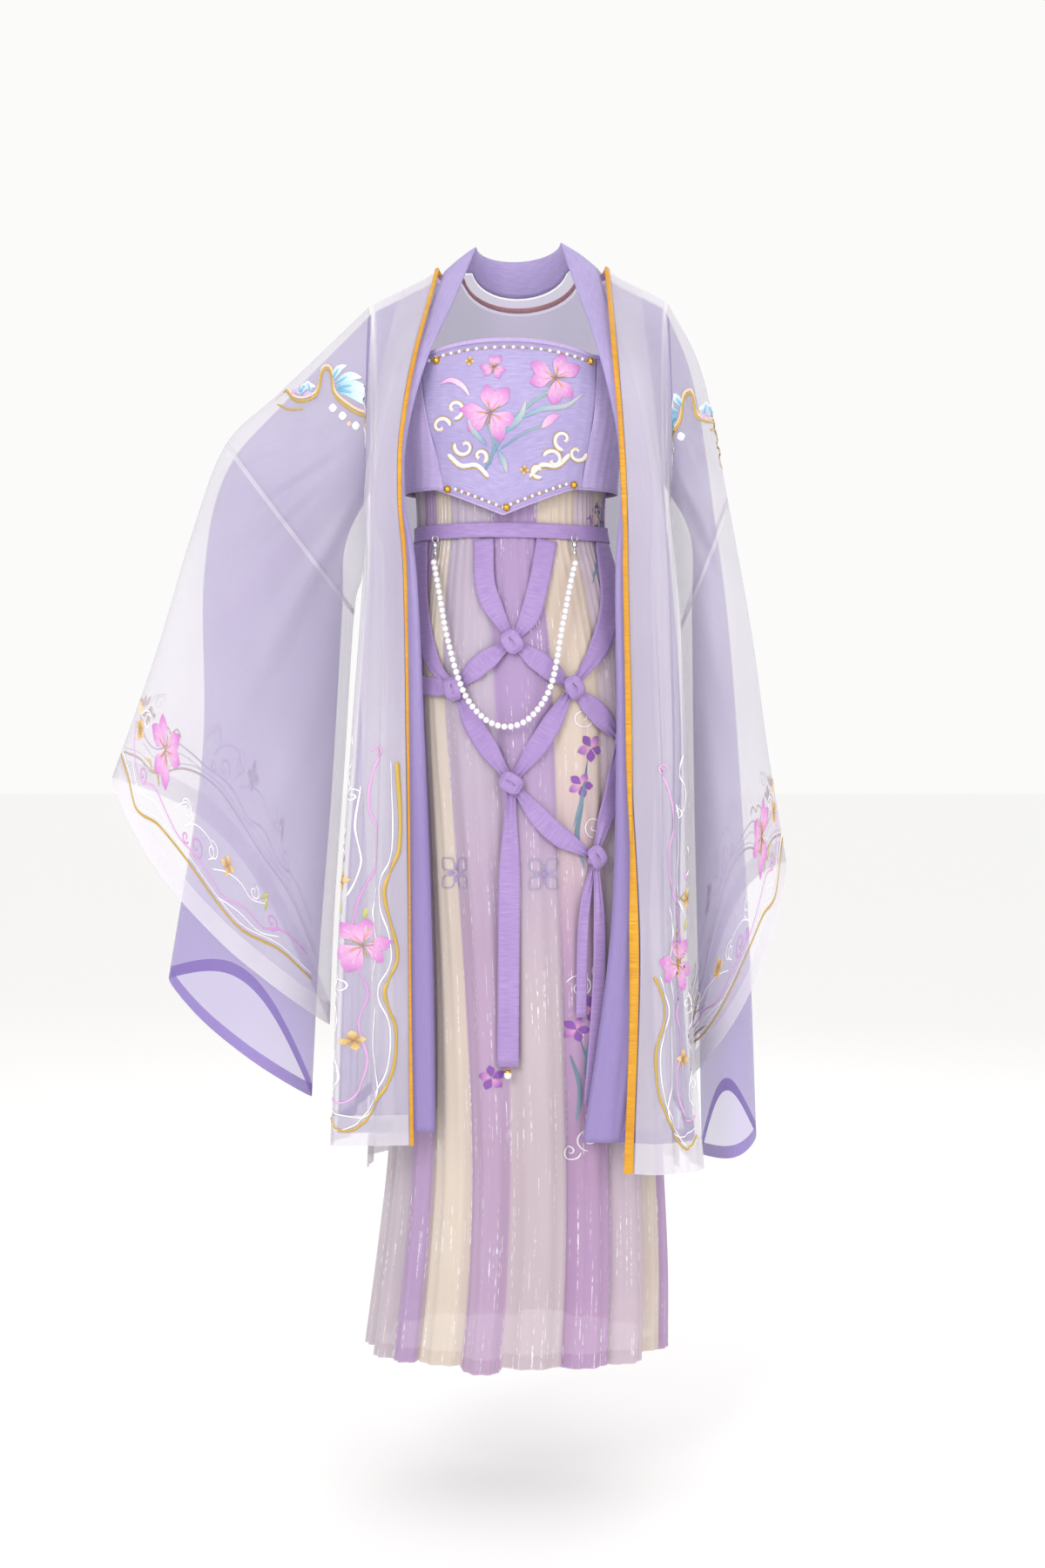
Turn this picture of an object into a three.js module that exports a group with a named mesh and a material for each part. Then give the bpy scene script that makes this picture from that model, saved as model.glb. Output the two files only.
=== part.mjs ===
// A hanfu set filled out as it is worn, with no wearer: an embroidered bodice, a chest-high pleated skirt,
// a ribbon belt with a knotted ribbon net and a strand of pearls, an inner robe with a collar band and an
// outer robe of sheer organza, both with large sleeves.
// Millimetres, +Z up, the front faces -Y, and +X is the wearer's left. The origin is the middle of the neck
// at the height of the shoulders, where the wearer holds the robes up.
import * as THREE from "three";

// ---------------------------------------------------------------- driving sizes
const CLOTH = 1.6; // wall of the robes, skirt and bodice
const RIBBON = 1.6; // wall of the belt and the net's ribbons
const SEAM = 0.4; // gap between two pieces at a seam
const ROBE_EASE = 8; // the inner robe lies this far inside the outer one
const PIPING_WIDTH = 6;
const PIPING_WALL = 2.6;
const PIPING_GAP = 1.5; // between the piping and the outer robe's cloth
const RIBBON_WIDTH = 24;
const BELT_WIDTH = 18;
const PEARL = 7.6; // diameter of a pearl in the strand
const ARMPIT_DROP = 300; // below the origin
const CHEST_DROP = 245; // where the back's rows are level
const TOP_DROP = 3; // the shoulder seam opens this far each side of the ridge
const NECK_DEPTH = 48; // of the collar's edge behind the shoulder points
const NECK_FALL = 12; // and below them
const ARMHOLE_HALF = 58; // how far the armhole's edge stands before and behind the arm
const BACK_CUFF_LIFT = 60; // how much higher a cuff's back edge hangs than its front one

// ---------------------------------------------------------------- tables
// A table is a heading of column names and one row of numbers for each section.
function table(heading, rows) {
  const names = heading.split(" ");
  const columns = Object.fromEntries(names.map((name, k) => [name, rows.map((row) => row[k])]));
  return { ...columns, count: rows.length };
}

// The robes' plan at each drop below the shoulder, as half widths: the front edge of the collar band, the
// fold where the front turns back, and the side seam; goldX is where the outer robe's edge and its piping
// run. band is how far across the front, from 0 at
// the edge to 1 at the side seam, the collar band ends.
const PLAN_COLUMNS = "drop edgeX edgeY foldX foldY sideX sideY band goldX";
const PLAN = {
  right: table(PLAN_COLUMNS, [
    [0, 65, 18, 126, 8, 184, 0, 0.3, 108],
    [118, 112, -100, 154, -98, 186, 0, 0.42, 131],
    [215, 138, -110, 174, -114, 189, 0, 0.46, 146],
    [300, 141, -110, 184, -112, 188, 0, 0.43, 148],
    [381, 128, -110, 184, -114, 180, -2, 0.32, 143],
    [587, 118, -112, 198, -118, 180, 0, 0.25, 141],
    [825, 110, -120, 215, -122, 184, 4, 0.2, 138],
    [1100, 106, -134, 224, -130, 192, 8, 0.18, 133],
  ]),
  left: table(PLAN_COLUMNS, [
    [0, 55, 18, 120, 8, 176, 0, 0.34, 108],
    [118, 89, -100, 142, -98, 178, 0, 0.38, 113],
    [215, 113, -110, 154, -114, 181, 0, 0.46, 120],
    [300, 118, -110, 168, -112, 180, 0, 0.4, 124],
    [381, 112, -110, 178, -112, 174, -2, 0.3, 126],
    [587, 113, -112, 190, -118, 178, 0, 0.26, 131],
    [825, 106, -126, 190, -126, 184, 4, 0.22, 139],
    [1100, 68, -148, 208, -134, 194, 8, 0.15, 131],
  ]),
};
// The back's plan at the same drops: the fold over each shoulder blade and the middle.
const BACK = table("drop foldX foldY middleY", [
  [0, 70, 44, 64],
  [118, 110, 90, 106],
  [215, 125, 102, 118],
  [300, 135, 104, 122],
  [381, 140, 107, 127],
  [587, 146, 117, 143],
  [825, 152, 129, 154],
  [1100, 162, 143, 166],
]);
// Soft folds of the robes' bodies: where across the front (0 the edge, 1 the side seam) or the back (0 the
// right side seam, 1 the left one), how wide, how deep, and the drop where each starts and is full.
const FOLD_COLUMNS = "across width depth start full";
const FRONT_FOLDS = {
  right: table(FOLD_COLUMNS, [
    [0.3, 0.09, -7, 330, 1000],
    [0.46, 0.07, 6, 140, 700],
    [0.7, 0.1, -9, 420, 1050],
  ]),
  left: table(FOLD_COLUMNS, [
    [0.3, 0.08, 7, 420, 900],
    [0.43, 0.07, -8, 300, 1000],
    [0.72, 0.1, -8, 380, 1050],
  ]),
};
const BACK_FOLDS = table(FOLD_COLUMNS, [
  [0.13, 0.035, 10, 260, 1000],
  [0.27, 0.04, -12, 200, 900],
  [0.4, 0.035, 10, 330, 1050],
  [0.53, 0.045, -13, 160, 950],
  [0.66, 0.035, 11, 300, 1000],
  [0.79, 0.04, -11, 220, 1050],
  [0.9, 0.03, 8, 400, 1000],
]);

// Sleeves: each section runs from the top fold over the arm (x, y, z) to the bottom seam (x, y, z), with
// half its depth between the front and the back layer. The first section is the armhole and comes from the
// body, so it isn't listed.
const SLEEVE_COLUMNS = "topX topY topZ seamX seamY seamZ half";
const SLEEVE = {
  outer_right: table(SLEEVE_COLUMNS, [
    [297, 0, -163, 196, 0, -385, 58],
    [362, -8, -227, 206, -4, -432, 56],
    [402, -20, -335, 218, -10, -621, 55],
    [446, -30, -484, 230, -16, -792, 54],
    [498, -38, -633, 236, -20, -936, 52],
  ]),
  inner_right: table(SLEEVE_COLUMNS, [
    [290, 0, -174, 216, 0, -345, 46],
    [362, -8, -262, 221, -4, -432, 41],
    [388, -20, -390, 233, -10, -640, 36],
    [390, -28, -610, 249, -16, -850, 31],
    [431, -34, -878, 258, -22, -1024, 42],
  ]),
  outer_left: table(SLEEVE_COLUMNS, [
    [220, 0, -140, 188, 0, -385, 60],
    [252, 0, -296, 194, 0, -450, 60],
    [281, -8, -459, 198, 0, -642, 59],
    [300, -14, -598, 202, -2, -835, 58],
    [322, -24, -736, 206, -4, -1003, 58],
  ]),
  inner_left: table(SLEEVE_COLUMNS, [
    [209, 0, -152, 206, 0, -340, 48],
    [236, 0, -320, 208, 0, -450, 45],
    [256, -8, -490, 211, 0, -655, 40],
    [276, -12, -790, 217, -2, -905, 33],
    [287, -18, -1072, 221, -4, -1098, 40],
  ]),
};
const SEAM_SECTION = 2; // the outer sleeve's upper and lower pieces meet at this section

// The skirt's outline as ellipses, and how deep its pleats are.
const SKIRT = table("drop middleX middleY halfX halfY pleat", [
  [236, -14, 0, 120, 87, 1],
  [334, -14, 0, 115, 84, 2.5],
  [400, -11, 0, 130, 98, 4],
  [500, -6, 0, 148, 112, 6],
  [700, 0, 0, 153, 118, 9],
  [900, 3, 0, 159, 124, 11],
  [1090, 3, 0, 170, 131, 13],
  [1230, -2, 2, 181, 139, 14],
  [1335, -9, 3, 188, 146, 15],
]);
const SKIRT_TOP = 240;
const SKIRT_HEM = 1335;
// Where each pleat starts, in degrees round the skirt from the wearer's left; 270 is the middle of the front.
const PLEATS = [0, 22, 45, 67, 90, 112, 135, 157, 180, 198, 215, 228, 249, 265, 289, 310, 330, 345, 360];
const PLEATS_IN_A_GORE = 2;

// The bodice's outline as ellipses.
const BODICE = table("drop middleX middleY halfX halfY", [
  [80, -15, -2, 128, 90],
  [140, -15, -8, 137, 100],
  [205, -15, -13, 139, 103],
  [265, -14, -8, 131, 96],
  [320, -14, -6, 128, 93],
]);
const BODICE_SEAM = { rightTop: 218, rightBottom: 232, leftTop: 320, leftBottom: 311 }; // degrees
const BODICE_SIDE = { right: 172, left: 368 }; // degrees, where the side pieces meet the back
const BINDING_WIDTH = 5;

// ---------------------------------------------------------------- curves
const clamp = (x, low, high) => Math.min(high, Math.max(low, x));
const mix = (a, b, t) => a + (b - a) * t;
const radians = THREE.MathUtils.degToRad;
const ramp = (x) => {
  const t = clamp(x, 0, 1);
  return t * t * (3 - 2 * t);
};

// The value at x of a smooth curve through (xs, ys): a cubic between neighbours, whose slope at each is
// that of the line through the two beside it, and a straight line past the ends.
function smooth(xs, ys, x) {
  const last = xs.length - 1;
  const slope = (i) => {
    const [low, high] = [Math.max(i - 1, 0), Math.min(i + 1, last)];
    return (ys[high] - ys[low]) / (xs[high] - xs[low]);
  };
  if (x <= xs[0]) return ys[0] + slope(0) * (x - xs[0]);
  if (x >= xs[last]) return ys[last] + slope(last) * (x - xs[last]);
  let i = 0;
  while (x > xs[i + 1]) i += 1;
  const step = xs[i + 1] - xs[i];
  const t = (x - xs[i]) / step;
  const [t2, t3] = [t * t, t * t * t];
  return (
    ys[i] * (2 * t3 - 3 * t2 + 1) +
    slope(i) * step * (t3 - 2 * t2 + t) +
    ys[i + 1] * (3 * t2 - 2 * t3) +
    slope(i + 1) * step * (t3 - t2)
  );
}
const smoothPoint = (xs, points, x) => [0, 1, 2].map((k) => smooth(xs, points.map((p) => p[k]), x));
const spread = (low, high, count) => Array.from({ length: count + 1 }, (_, i) => mix(low, high, i / count));

// ---------------------------------------------------------------- walls
// The unit normal of the surface at (u, v), from two small steps each way.
function normalAt(surface, u, v, du, dv) {
  const step = (a, b) => new THREE.Vector3(...a).sub(new THREE.Vector3(...b));
  const along = step(surface(u + du, v), surface(u - du, v));
  const down = step(surface(u, v + dv), surface(u, v - dv));
  return along.cross(down).normalize();
}

// A closed wall of even thickness about a surface, over the grid of us by vs. A ring joins its last
// column to its first.
function wall(surface, us, vs, thickness, ring = false) {
  const [du, dv] = [(us.at(-1) - us[0]) * 1e-3, (vs.at(-1) - vs[0]) * 1e-3];
  const columns = us.length;
  const points = [];
  for (const side of [1, -1])
    for (const v of vs)
      for (const u of us) {
        const n = normalAt(surface, u, v, du, dv);
        points.push(new THREE.Vector3(...surface(u, v)).addScaledVector(n, (side * thickness) / 2));
      }
  const at = (side, row, column) => (side * vs.length + row) * columns + (column % columns);
  const quads = [];
  const across = ring ? columns : columns - 1;
  for (let row = 0; row < vs.length - 1; row += 1)
    for (let c = 0; c < across; c += 1) {
      quads.push([at(0, row, c), at(0, row, c + 1), at(0, row + 1, c + 1), at(0, row + 1, c)]);
      // The same diagonal as the face before it, so that a twisted wall doesn't cross itself.
      quads.push([at(1, row, c), at(1, row + 1, c), at(1, row + 1, c + 1), at(1, row, c + 1)]);
    }
  const bottom = vs.length - 1;
  for (let c = 0; c < across; c += 1) {
    quads.push([at(0, 0, c + 1), at(0, 0, c), at(1, 0, c), at(1, 0, c + 1)]);
    quads.push([at(0, bottom, c), at(0, bottom, c + 1), at(1, bottom, c + 1), at(1, bottom, c)]);
  }
  const right = columns - 1;
  for (let row = 0; row < bottom && !ring; row += 1) {
    quads.push([at(0, row, 0), at(0, row + 1, 0), at(1, row + 1, 0), at(1, row, 0)]);
    quads.push([at(0, row + 1, right), at(0, row, right), at(1, row, right), at(1, row + 1, right)]);
  }
  return solid(points, quads);
}

// A geometry from points and quads, turned round if its faces point inwards.
function solid(points, quads) {
  let triangles = quads.flatMap(([a, b, c, d]) => [[a, b, c], [a, c, d]]);
  const volume = triangles.reduce((sum, [a, b, c]) => {
    const cross = points[b].clone().cross(points[c]);
    return sum + points[a].dot(cross);
  }, 0);
  if (volume < 0) triangles = triangles.map(([a, b, c]) => [a, c, b]);
  return new THREE.BufferGeometry()
    .setFromPoints(points)
    .setIndex(triangles.flat());
}

// ---------------------------------------------------------------- finishes
const finish = (colour, roughness, metalness = 0) =>
  new THREE.MeshStandardMaterial({ color: colour, roughness, metalness, side: THREE.DoubleSide });
const ORGANZA = new THREE.MeshStandardMaterial({ color: 0xeceaf2, roughness: 0.7, transparent: true, opacity: 0.5 });
const CHIFFON = new THREE.MeshStandardMaterial({ color: 0xa596d2, roughness: 0.75, transparent: true, opacity: 0.8 });
const BAND = finish(0xa39ad0, 0.6);
const SATIN = finish(0xbdb4e0, 0.4);
const SATIN_SIDE = finish(0xb9a2da, 0.4);
const BINDING = finish(0xc6b2e6, 0.5);
const LILAC = finish(0xc2a6d6, 0.5);
const CREAM = finish(0xe0d4cc, 0.5);
const RIBBON_CLOTH = finish(0xb295d6, 0.55);
const GOLD = finish(0xd9a520, 0.35, 0.7);
const SILVER = finish(0xc9c9cf, 0.2, 1);
const PEARLY = finish(0xf3f0f2, 0.25);

const model = new THREE.Group();
function add(name, geometry, material) {
  const mesh = new THREE.Mesh(geometry, material);
  mesh.name = name;
  model.add(mesh);
}

// ---------------------------------------------------------------- the robes' body
const SIDES = { right: -1, left: 1 };
const plan = (side, column, drop) => smooth(PLAN[side].drop, PLAN[side][column], drop);

// Height of the shoulder line at a distance from the middle.
const shoulderLine = (x) => 12 - (Math.abs(x) - 57) * 0.53 + 16 * ramp((122 - Math.abs(x)) / 60);

// Height of the cloth at a drop: the shoulder line at 0, level from the armpit down.
const height = (x, drop) =>
  drop < ARMPIT_DROP ? mix(shoulderLine(x), -ARMPIT_DROP, drop / ARMPIT_DROP) : -drop;

// The section of a flat tube of cloth: full over most of its height, closed to a crease at 0 and 1.
const lens = (t) => Math.sign(Math.sin(Math.PI * t)) * Math.abs(Math.sin(Math.PI * t)) ** 0.6;

// How far before (-1) or behind (1) the arm the armhole's edge stands at a drop, in a robe eased out by a
// distance; past the armpit it is the side seam, one line.
const sideY = (side, drop, face, out) =>
  drop < ARMPIT_DROP
    ? face * (ARMHOLE_HALF + out * 1.3) * lens(Math.max(drop, 0) / ARMPIT_DROP)
    : plan(side, "sideY", drop);
const sideX = (side, drop, out) => plan(side, "sideX", drop) + out * mix(0.3, 1, ramp(drop / ARMPIT_DROP));
// The inner robe's armpits sit a little higher; near says how near the side a point is, from 0 to 1.
const armpitLift = (drop, out, near) => -out * 3.4 * ramp(near) * ramp(drop / ARMPIT_DROP);

// Moves a level point out from the body's axis by a distance.
const outwards = ([x, y], out) => {
  const r = Math.hypot(x, y) || 1;
  return [x * (1 + out / r), y * (1 + out / r)];
};
// How much of the ease is upwards: a little more than all of it over the shoulders, none from the chest down.
const upwards = (z) => 1.35 * ramp((z + 150) / 110);

// How far the folds push the cloth out at a place across and a drop.
function foldDepth(folds, across, drop) {
  let depth = 0;
  for (let i = 0; i < folds.count; i += 1) {
    const reach = ramp((drop - folds.start[i]) / (folds.full[i] - folds.start[i]));
    const offset = (across - folds.across[i]) / folds.width[i];
    depth += folds.depth[i] * reach * Math.exp(-offset * offset);
  }
  return depth;
}

// The front of a robe. across runs from the collar's edge, 0, to the side seam, 1; drop in mm.
function front(side, across, drop, out = 0) {
  const level = ramp(drop / 100);
  const edge = [plan(side, "edgeX", drop) + out * mix(1, 0.3, level), plan(side, "edgeY", drop) - out * level];
  const fold = [plan(side, "foldX", drop) + out * 0.9, plan(side, "foldY", drop) - out * 0.9 * level];
  const seam = [sideX(side, drop, out), sideY(side, drop, -1, out)];
  const flat = [0, 1].map((k) => smooth([0, 0.5, 1], [edge[k], fold[k], seam[k]], across));
  const z = height(flat[0], drop);
  const [x, y] = outwards(flat, foldDepth(FRONT_FOLDS[side], across, drop));
  return [SIDES[side] * x, y, z + out * upwards(z) + armpitLift(drop, out, across * 2 - 1)];
}

// How far across a front a distance from the middle is, by halving the range.
function acrossAt(side, drop, x) {
  let [low, high] = [0, 0.5];
  for (let i = 0; i < 30; i += 1) {
    const middle = (low + high) / 2;
    const at = smooth([0, 0.5, 1], ["edgeX", "foldX", "sideX"].map((c) => plan(side, c, drop)), middle);
    if (at < x) low = middle;
    else high = middle;
  }
  return low;
}

// The back of a robe. across runs from the right side seam, 0, to the left one, 1. Its top row follows the
// shoulders and goes round behind the neck.
function back(across, drop, out = 0) {
  const foldX = smooth(BACK.drop, BACK.foldX, drop);
  const fold = outwards([foldX, smooth(BACK.drop, BACK.foldY, drop)], out);
  const middleY = smooth(BACK.drop, BACK.middleY, drop) + out;
  const xs = [-sideX("right", drop, out), -fold[0], 0, fold[0], sideX("left", drop, out)];
  const ys = [sideY("right", drop, 1, out), fold[1], middleY, fold[1], sideY("left", drop, 1, out)];
  const stations = [0, 0.25, 0.5, 0.75, 1];
  const ridge = shoulderRow(across, out);
  const settle = Math.sin((clamp(drop / 150, 0, 1) * Math.PI) / 2);
  const flatX = mix(ridge[0], smooth(stations, xs, across), settle);
  const edge = Math.abs(across - 0.5) > 0.495;
  const flatY = edge ? smooth(stations, ys, across) : mix(ridge[1], smooth(stations, ys, across), settle);
  const z = drop < ARMPIT_DROP ? mix(ridge[2], -ARMPIT_DROP, drop / ARMPIT_DROP) : -drop;
  const [x, y] = outwards([flatX, flatY], foldDepth(BACK_FOLDS, across, drop));
  return [x, y, z + armpitLift(drop, out, Math.abs(across - 0.5) * 4 - 1)];
}

// The back's top row: the fronts' shoulder line, and the collar's edge in an arc behind the neck.
function shoulderRow(across, out) {
  if (across < 0.25) return front("right", 1 - across * 4, 0, out);
  if (across > 0.75) return front("left", 1 - (1 - across) * 4, 0, out);
  const [from, to] = [front("right", 0, 0, out), front("left", 0, 0, out)];
  const turn = Math.PI * (across * 2 - 0.5);
  const [bow, t] = [Math.sin(turn), (1 - Math.cos(turn)) / 2];
  return [mix(from[0], to[0], t), mix(from[1], to[1], t) + NECK_DEPTH * bow, mix(from[2], to[2], t) - NECK_FALL * bow];
}

// A line behind the neck that joins the shoulder points at two fractions across the fronts and hangs to a
// drop in the middle: where across it starts and ends, and its drop at a place across.
const neckline = (right, left, fall) => {
  const [from, to] = [(1 - right) / 4, 1 - (1 - left) / 4];
  return {
    at: (turn) => [mix(from, to, (1 - Math.cos(Math.PI * turn)) / 2), fall * Math.sin(Math.PI * turn)],
    drop: (across) => {
      const reach = (2 * across - from - to) / (to - from);
      return fall * Math.sqrt(Math.max(0, 1 - reach * reach));
    },
  };
};

// A strip along both fronts and behind the neck. along runs up the right front as minus the drop, then
// behind the neck from 0 to NECK, and down the left front as NECK and the drop. place gives the fraction
// across each front for a side and a drop, and fall how low the strip hangs behind the neck.
const NECK = 100;
function edging(place, fall, along, out) {
  if (along < 0) return front("right", place("right", -along), -along, out);
  if (along > NECK) return front("left", place("left", along - NECK), along - NECK, out);
  return back(...neckline(place("right", 0), place("left", 0), fall).at(along / NECK), out);
}
const rowsDown = (hem) => [TOP_DROP, 30, 75, 130, 190, 245, ARMPIT_DROP, ...spread(400, hem, 6)];
const rowsAlong = (hems) => [
  ...rowsDown(hems.right).map((drop) => -drop).reverse(),
  ...spread(0, NECK, 16),
  ...rowsDown(hems.left).map((drop) => NECK + drop),
];

// ---------------------------------------------------------------- the robes' sleeves
// A point of a sleeve: s from the armhole, 0, to the cuff, the last section; t round the tube, from the top
// fold, 0, down the front layer to the bottom seam, 1, and up the back layer to 2.
function sleeve(side, robe, s, t) {
  const rows = SLEEVE[`${robe}_${side}`];
  const { out, bow, taper } = ROBES[robe];
  const round = ((t % 2) + 2) % 2;
  const low = round < 1 ? round : 2 - round;
  const face = round < 1 ? -1 : 1;
  const last = rows.count - 1;
  const drop = low * (ARMPIT_DROP - 1e-6);
  const armholeX = sideX(side, drop, out);
  const armholeZ = height(armholeX, drop);
  const lift = out * upwards(armholeZ) + armpitLift(drop, out, 1);
  const points = [[SIDES[side] * armholeX, sideY(side, drop, face, out), armholeZ + lift]];
  for (let i = 0; i <= last; i += 1)
    points.push([
      SIDES[side] * mix(rows.topX[i], rows.seamX[i], low),
      mix(rows.topY[i], rows.seamY[i], low) + face * rows.half[i] * lens(low) * (1 - taper * low),
      mix(rows.topZ[i], rows.seamZ[i], low),
    ]);
  // The front edge of the cuff hangs out in a bow and the back edge hangs higher.
  const [end, before] = [points[last + 1], points[last]];
  const hang = face < 0 ? bow * Math.sin(Math.PI * low ** 0.8) : -BACK_CUFF_LIFT * Math.sin(Math.PI * low);
  const length = Math.hypot(end[0] - before[0], end[2] - before[2]);
  end[0] += ((end[0] - before[0]) * hang) / length;
  end[2] += ((end[2] - before[2]) * hang) / length;
  const at = smoothPoint(points.map((_, i) => i), points, s);
  at[1] += face * sleeveFold(Math.abs(at[0]), at[2]) * Math.sin(Math.PI * low) * ramp(s / 2);
  return at;
}

// The soft folds that fan out from the armpit, the same in both robes' sleeves.
function sleeveFold(x, z) {
  const angle = Math.atan2(-200 - z, x - 150);
  return 3.5 * Math.sin(angle * 19) - 2.5 * Math.sin(angle * 33 + 1);
}

// Each robe: its ease, hems, the drop of its neckline behind, the bow and the width of its cuffs, and how
// much shallower its sleeves are at their bottom seam than over the arm.
const ROBES = {
  outer: {
    out: 0,
    cloth: ORGANZA,
    hems: { right: 1064, left: 1095, back: 1118 },
    fall: 66,
    bow: 36,
    band: 0.16,
    taper: 0.2,
  },
  inner: {
    out: -ROBE_EASE,
    cloth: CHIFFON,
    hems: { right: 1050, left: 1060, back: 1098 },
    fall: 44,
    bow: 10,
    taper: 0.4,
  },
};
const edgeOf = (robe, side, drop) =>
  robe === "outer" ? acrossAt(side, drop, plan(side, "goldX", drop)) : plan(side, "band", drop);
const GAP = 0.006; // between two pieces, as a fraction of a front or a sleeve's section
for (const [name, { out, hems, cloth, band, fall }] of Object.entries(ROBES)) {
  const nape = neckline(edgeOf(name, "right", 0) + 3 * GAP, edgeOf(name, "left", 0) + 3 * GAP, fall + 3);
  // The rows start at the shoulder seam or the neckline and are level from the chest down.
  const backSurface = (u, v) => back(u, v + nape.drop(u) * (1 - ramp(v / CHEST_DROP)), out);
  const columns = [0.012, ...spread(0.06, 0.94, 16), 0.988];
  add(`${name}_back`, wall(backSurface, columns, rowsDown(hems.back), CLOTH), cloth);
  for (const side of ["right", "left"]) {
    const surface = (u, v) => front(side, mix(edgeOf(name, side, v) + GAP, 0.96, u), v, out);
    add(`${name}_front_${side}`, wall(surface, spread(0, 1, 8), rowsDown(hems[side]), CLOTH), cloth);
    const tube = (u, v) => sleeve(side, name, v, u);
    const down = [0, ...rowsDown(hems.back).slice(1, 6).map((drop) => drop / ARMPIT_DROP), 1];
    const turns = [...down, ...down.slice(1, -1).reverse().map((t) => 2 - t)];
    const cuff = SLEEVE[`${name}_${side}`].count;
    const end = cuff - band;
    const ring = (from, to, count) => wall(tube, turns, spread(from, to, count), CLOTH, true);
    if (name === "outer") {
      add(`outer_sleeve_upper_${side}`, ring(0.06, SEAM_SECTION - 2 * GAP, 3), cloth);
      add(`outer_sleeve_lower_${side}`, ring(SEAM_SECTION, end - 3 * GAP, 4), cloth);
      add(`outer_cuff_${side}`, ring(end, cuff, 1), cloth);
    } else {
      add(`inner_sleeve_${side}`, ring(0.05, cuff, 8), cloth);
    }
  }
}
// The collar band is sewn to the inner robe's edge, and the piping is a cord sewn to the outer robe's.
const collar = (u, v) => edging((side, drop) => plan(side, "band", drop) * v, ROBES.inner.fall * v, u, -ROBE_EASE);
// Each has a seam at the centre of the back.
const halves = (name, surface, hems, vs, thickness, material) => {
  const rows = rowsAlong(hems);
  const [right, left] = [rows.filter((r) => r < NECK / 2), rows.filter((r) => r > NECK / 2)];
  add(`${name}_right`, wall(surface, [...right, NECK / 2 - 0.3], vs, thickness), material);
  add(`${name}_left`, wall(surface, [NECK / 2 + 0.3, ...left], vs, thickness), material);
};
halves("inner_collar", collar, ROBES.inner.hems, [0, 0.5, 1], CLOTH, BAND);
const piping = (u, v) => {
  const place = (side, drop) => {
    const gold = edgeOf("outer", side, drop);
    const across = 2 * (plan(side, "foldX", drop) - plan(side, "edgeX", drop));
    return gold + ((v - 1) * PIPING_WIDTH - PIPING_GAP) / across;
  };
  return edging(place, ROBES.outer.fall + (v - 1) * PIPING_WIDTH, u, 0);
};
halves("outer_piping", piping, ROBES.outer.hems, [0, 1], PIPING_WALL, GOLD);

// ---------------------------------------------------------------- the skirt
// The point of an outline table's ellipse at an angle and a drop, moved out by a distance.
function oval(outline, angle, drop, out = 0) {
  const at = (column) => smooth(outline.drop, outline[column], drop);
  const [c, s] = [Math.cos(radians(angle)), Math.sin(radians(angle))];
  return [at("middleX") + (at("halfX") + out) * c, at("middleY") + (at("halfY") + out) * s, -drop];
}

// The skirt's cloth: pleat counts the pleats round from the wearer's left, with a crest at each half and
// a hidden fold at each whole number.
function skirt(pleat, drop) {
  const whole = Math.floor(pleat);
  const t = pleat - whole;
  const count = PLEATS.length - 1;
  const i = ((whole % count) + count) % count;
  const angle = mix(PLEATS[i], PLEATS[i + 1], t);
  const depth = smooth(SKIRT.drop, SKIRT.pleat, drop);
  return oval(SKIRT, angle, drop, depth * (Math.sin(Math.PI * t) ** 0.8 - 1));
}
const WAISTBAND = 24;
const skirtRows = [SKIRT_TOP + WAISTBAND + SEAM, 328, 350, 420, 560, 760, 960, 1150, SKIRT_HEM];
const gores = (PLEATS.length - 1) / PLEATS_IN_A_GORE;
for (let gore = 0; gore < gores; gore += 1) {
  const first = gore * PLEATS_IN_A_GORE + 0.2;
  const columns = [0.01, 0.2, 0.4, 0.62, 0.8, 1, 1.2, 1.4, 1.62, 1.8, 1.99].map((u) => first + u);
  const cloth = gore % 2 ? CREAM : LILAC;
  add(`skirt_gore_${gore + 1}`, wall(skirt, columns, skirtRows, CLOTH), cloth);
}
const band = (angle, drop) => oval(SKIRT, angle, drop, 0);
const round = (count) => spread(0, 360, count).slice(0, -1);
add("skirt_waistband", wall(band, round(28), [SKIRT_TOP, SKIRT_TOP + WAISTBAND], CLOTH, true), LILAC);

// ---------------------------------------------------------------- the bodice
// How far across the front piece an angle is, from -1 at its right seam to 1 at its left one.
const acrossFront = (angle) => clamp((angle - 268) / 48, -1, 1);
const bodiceTop = (angle) => 112 + 16 * acrossFront(angle) ** 2 + 18 * ramp((Math.abs(angle - 268) - 50) / 90);
const bodiceBottom = (angle) => 289 + 32 * Math.max(0, 1 - Math.abs(angle - 266) / 40) ** 1.15;
const bodiceSeam = (side, v) => mix(BODICE_SEAM[`${side}Top`], BODICE_SEAM[`${side}Bottom`], v);
const bodice = (angle, v) => oval(BODICE, angle, mix(bodiceTop(angle) + BINDING_WIDTH + 1, bodiceBottom(angle), v));
const bodicePiece = (from, to) => (u, v) => bodice(mix(from(v) + 0.12, to(v) - 0.12, u), v);
const bodiceRows = spread(0, 1, 5);
const rightSeam = (v) => bodiceSeam("right", v);
const leftSeam = (v) => bodiceSeam("left", v);
const rightBack = () => BODICE_SIDE.right;
const leftBack = () => BODICE_SIDE.left;
add("bodice_front", wall(bodicePiece(rightSeam, leftSeam), spread(0, 1, 12), bodiceRows, CLOTH), SATIN);
add("bodice_side_right", wall(bodicePiece(rightBack, rightSeam), spread(0, 1, 5), bodiceRows, CLOTH), SATIN_SIDE);
add("bodice_side_left", wall(bodicePiece(leftSeam, leftBack), spread(0, 1, 5), bodiceRows, CLOTH), SATIN_SIDE);
const backPiece = bodicePiece(() => BODICE_SIDE.left - 360, rightBack);
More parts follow.
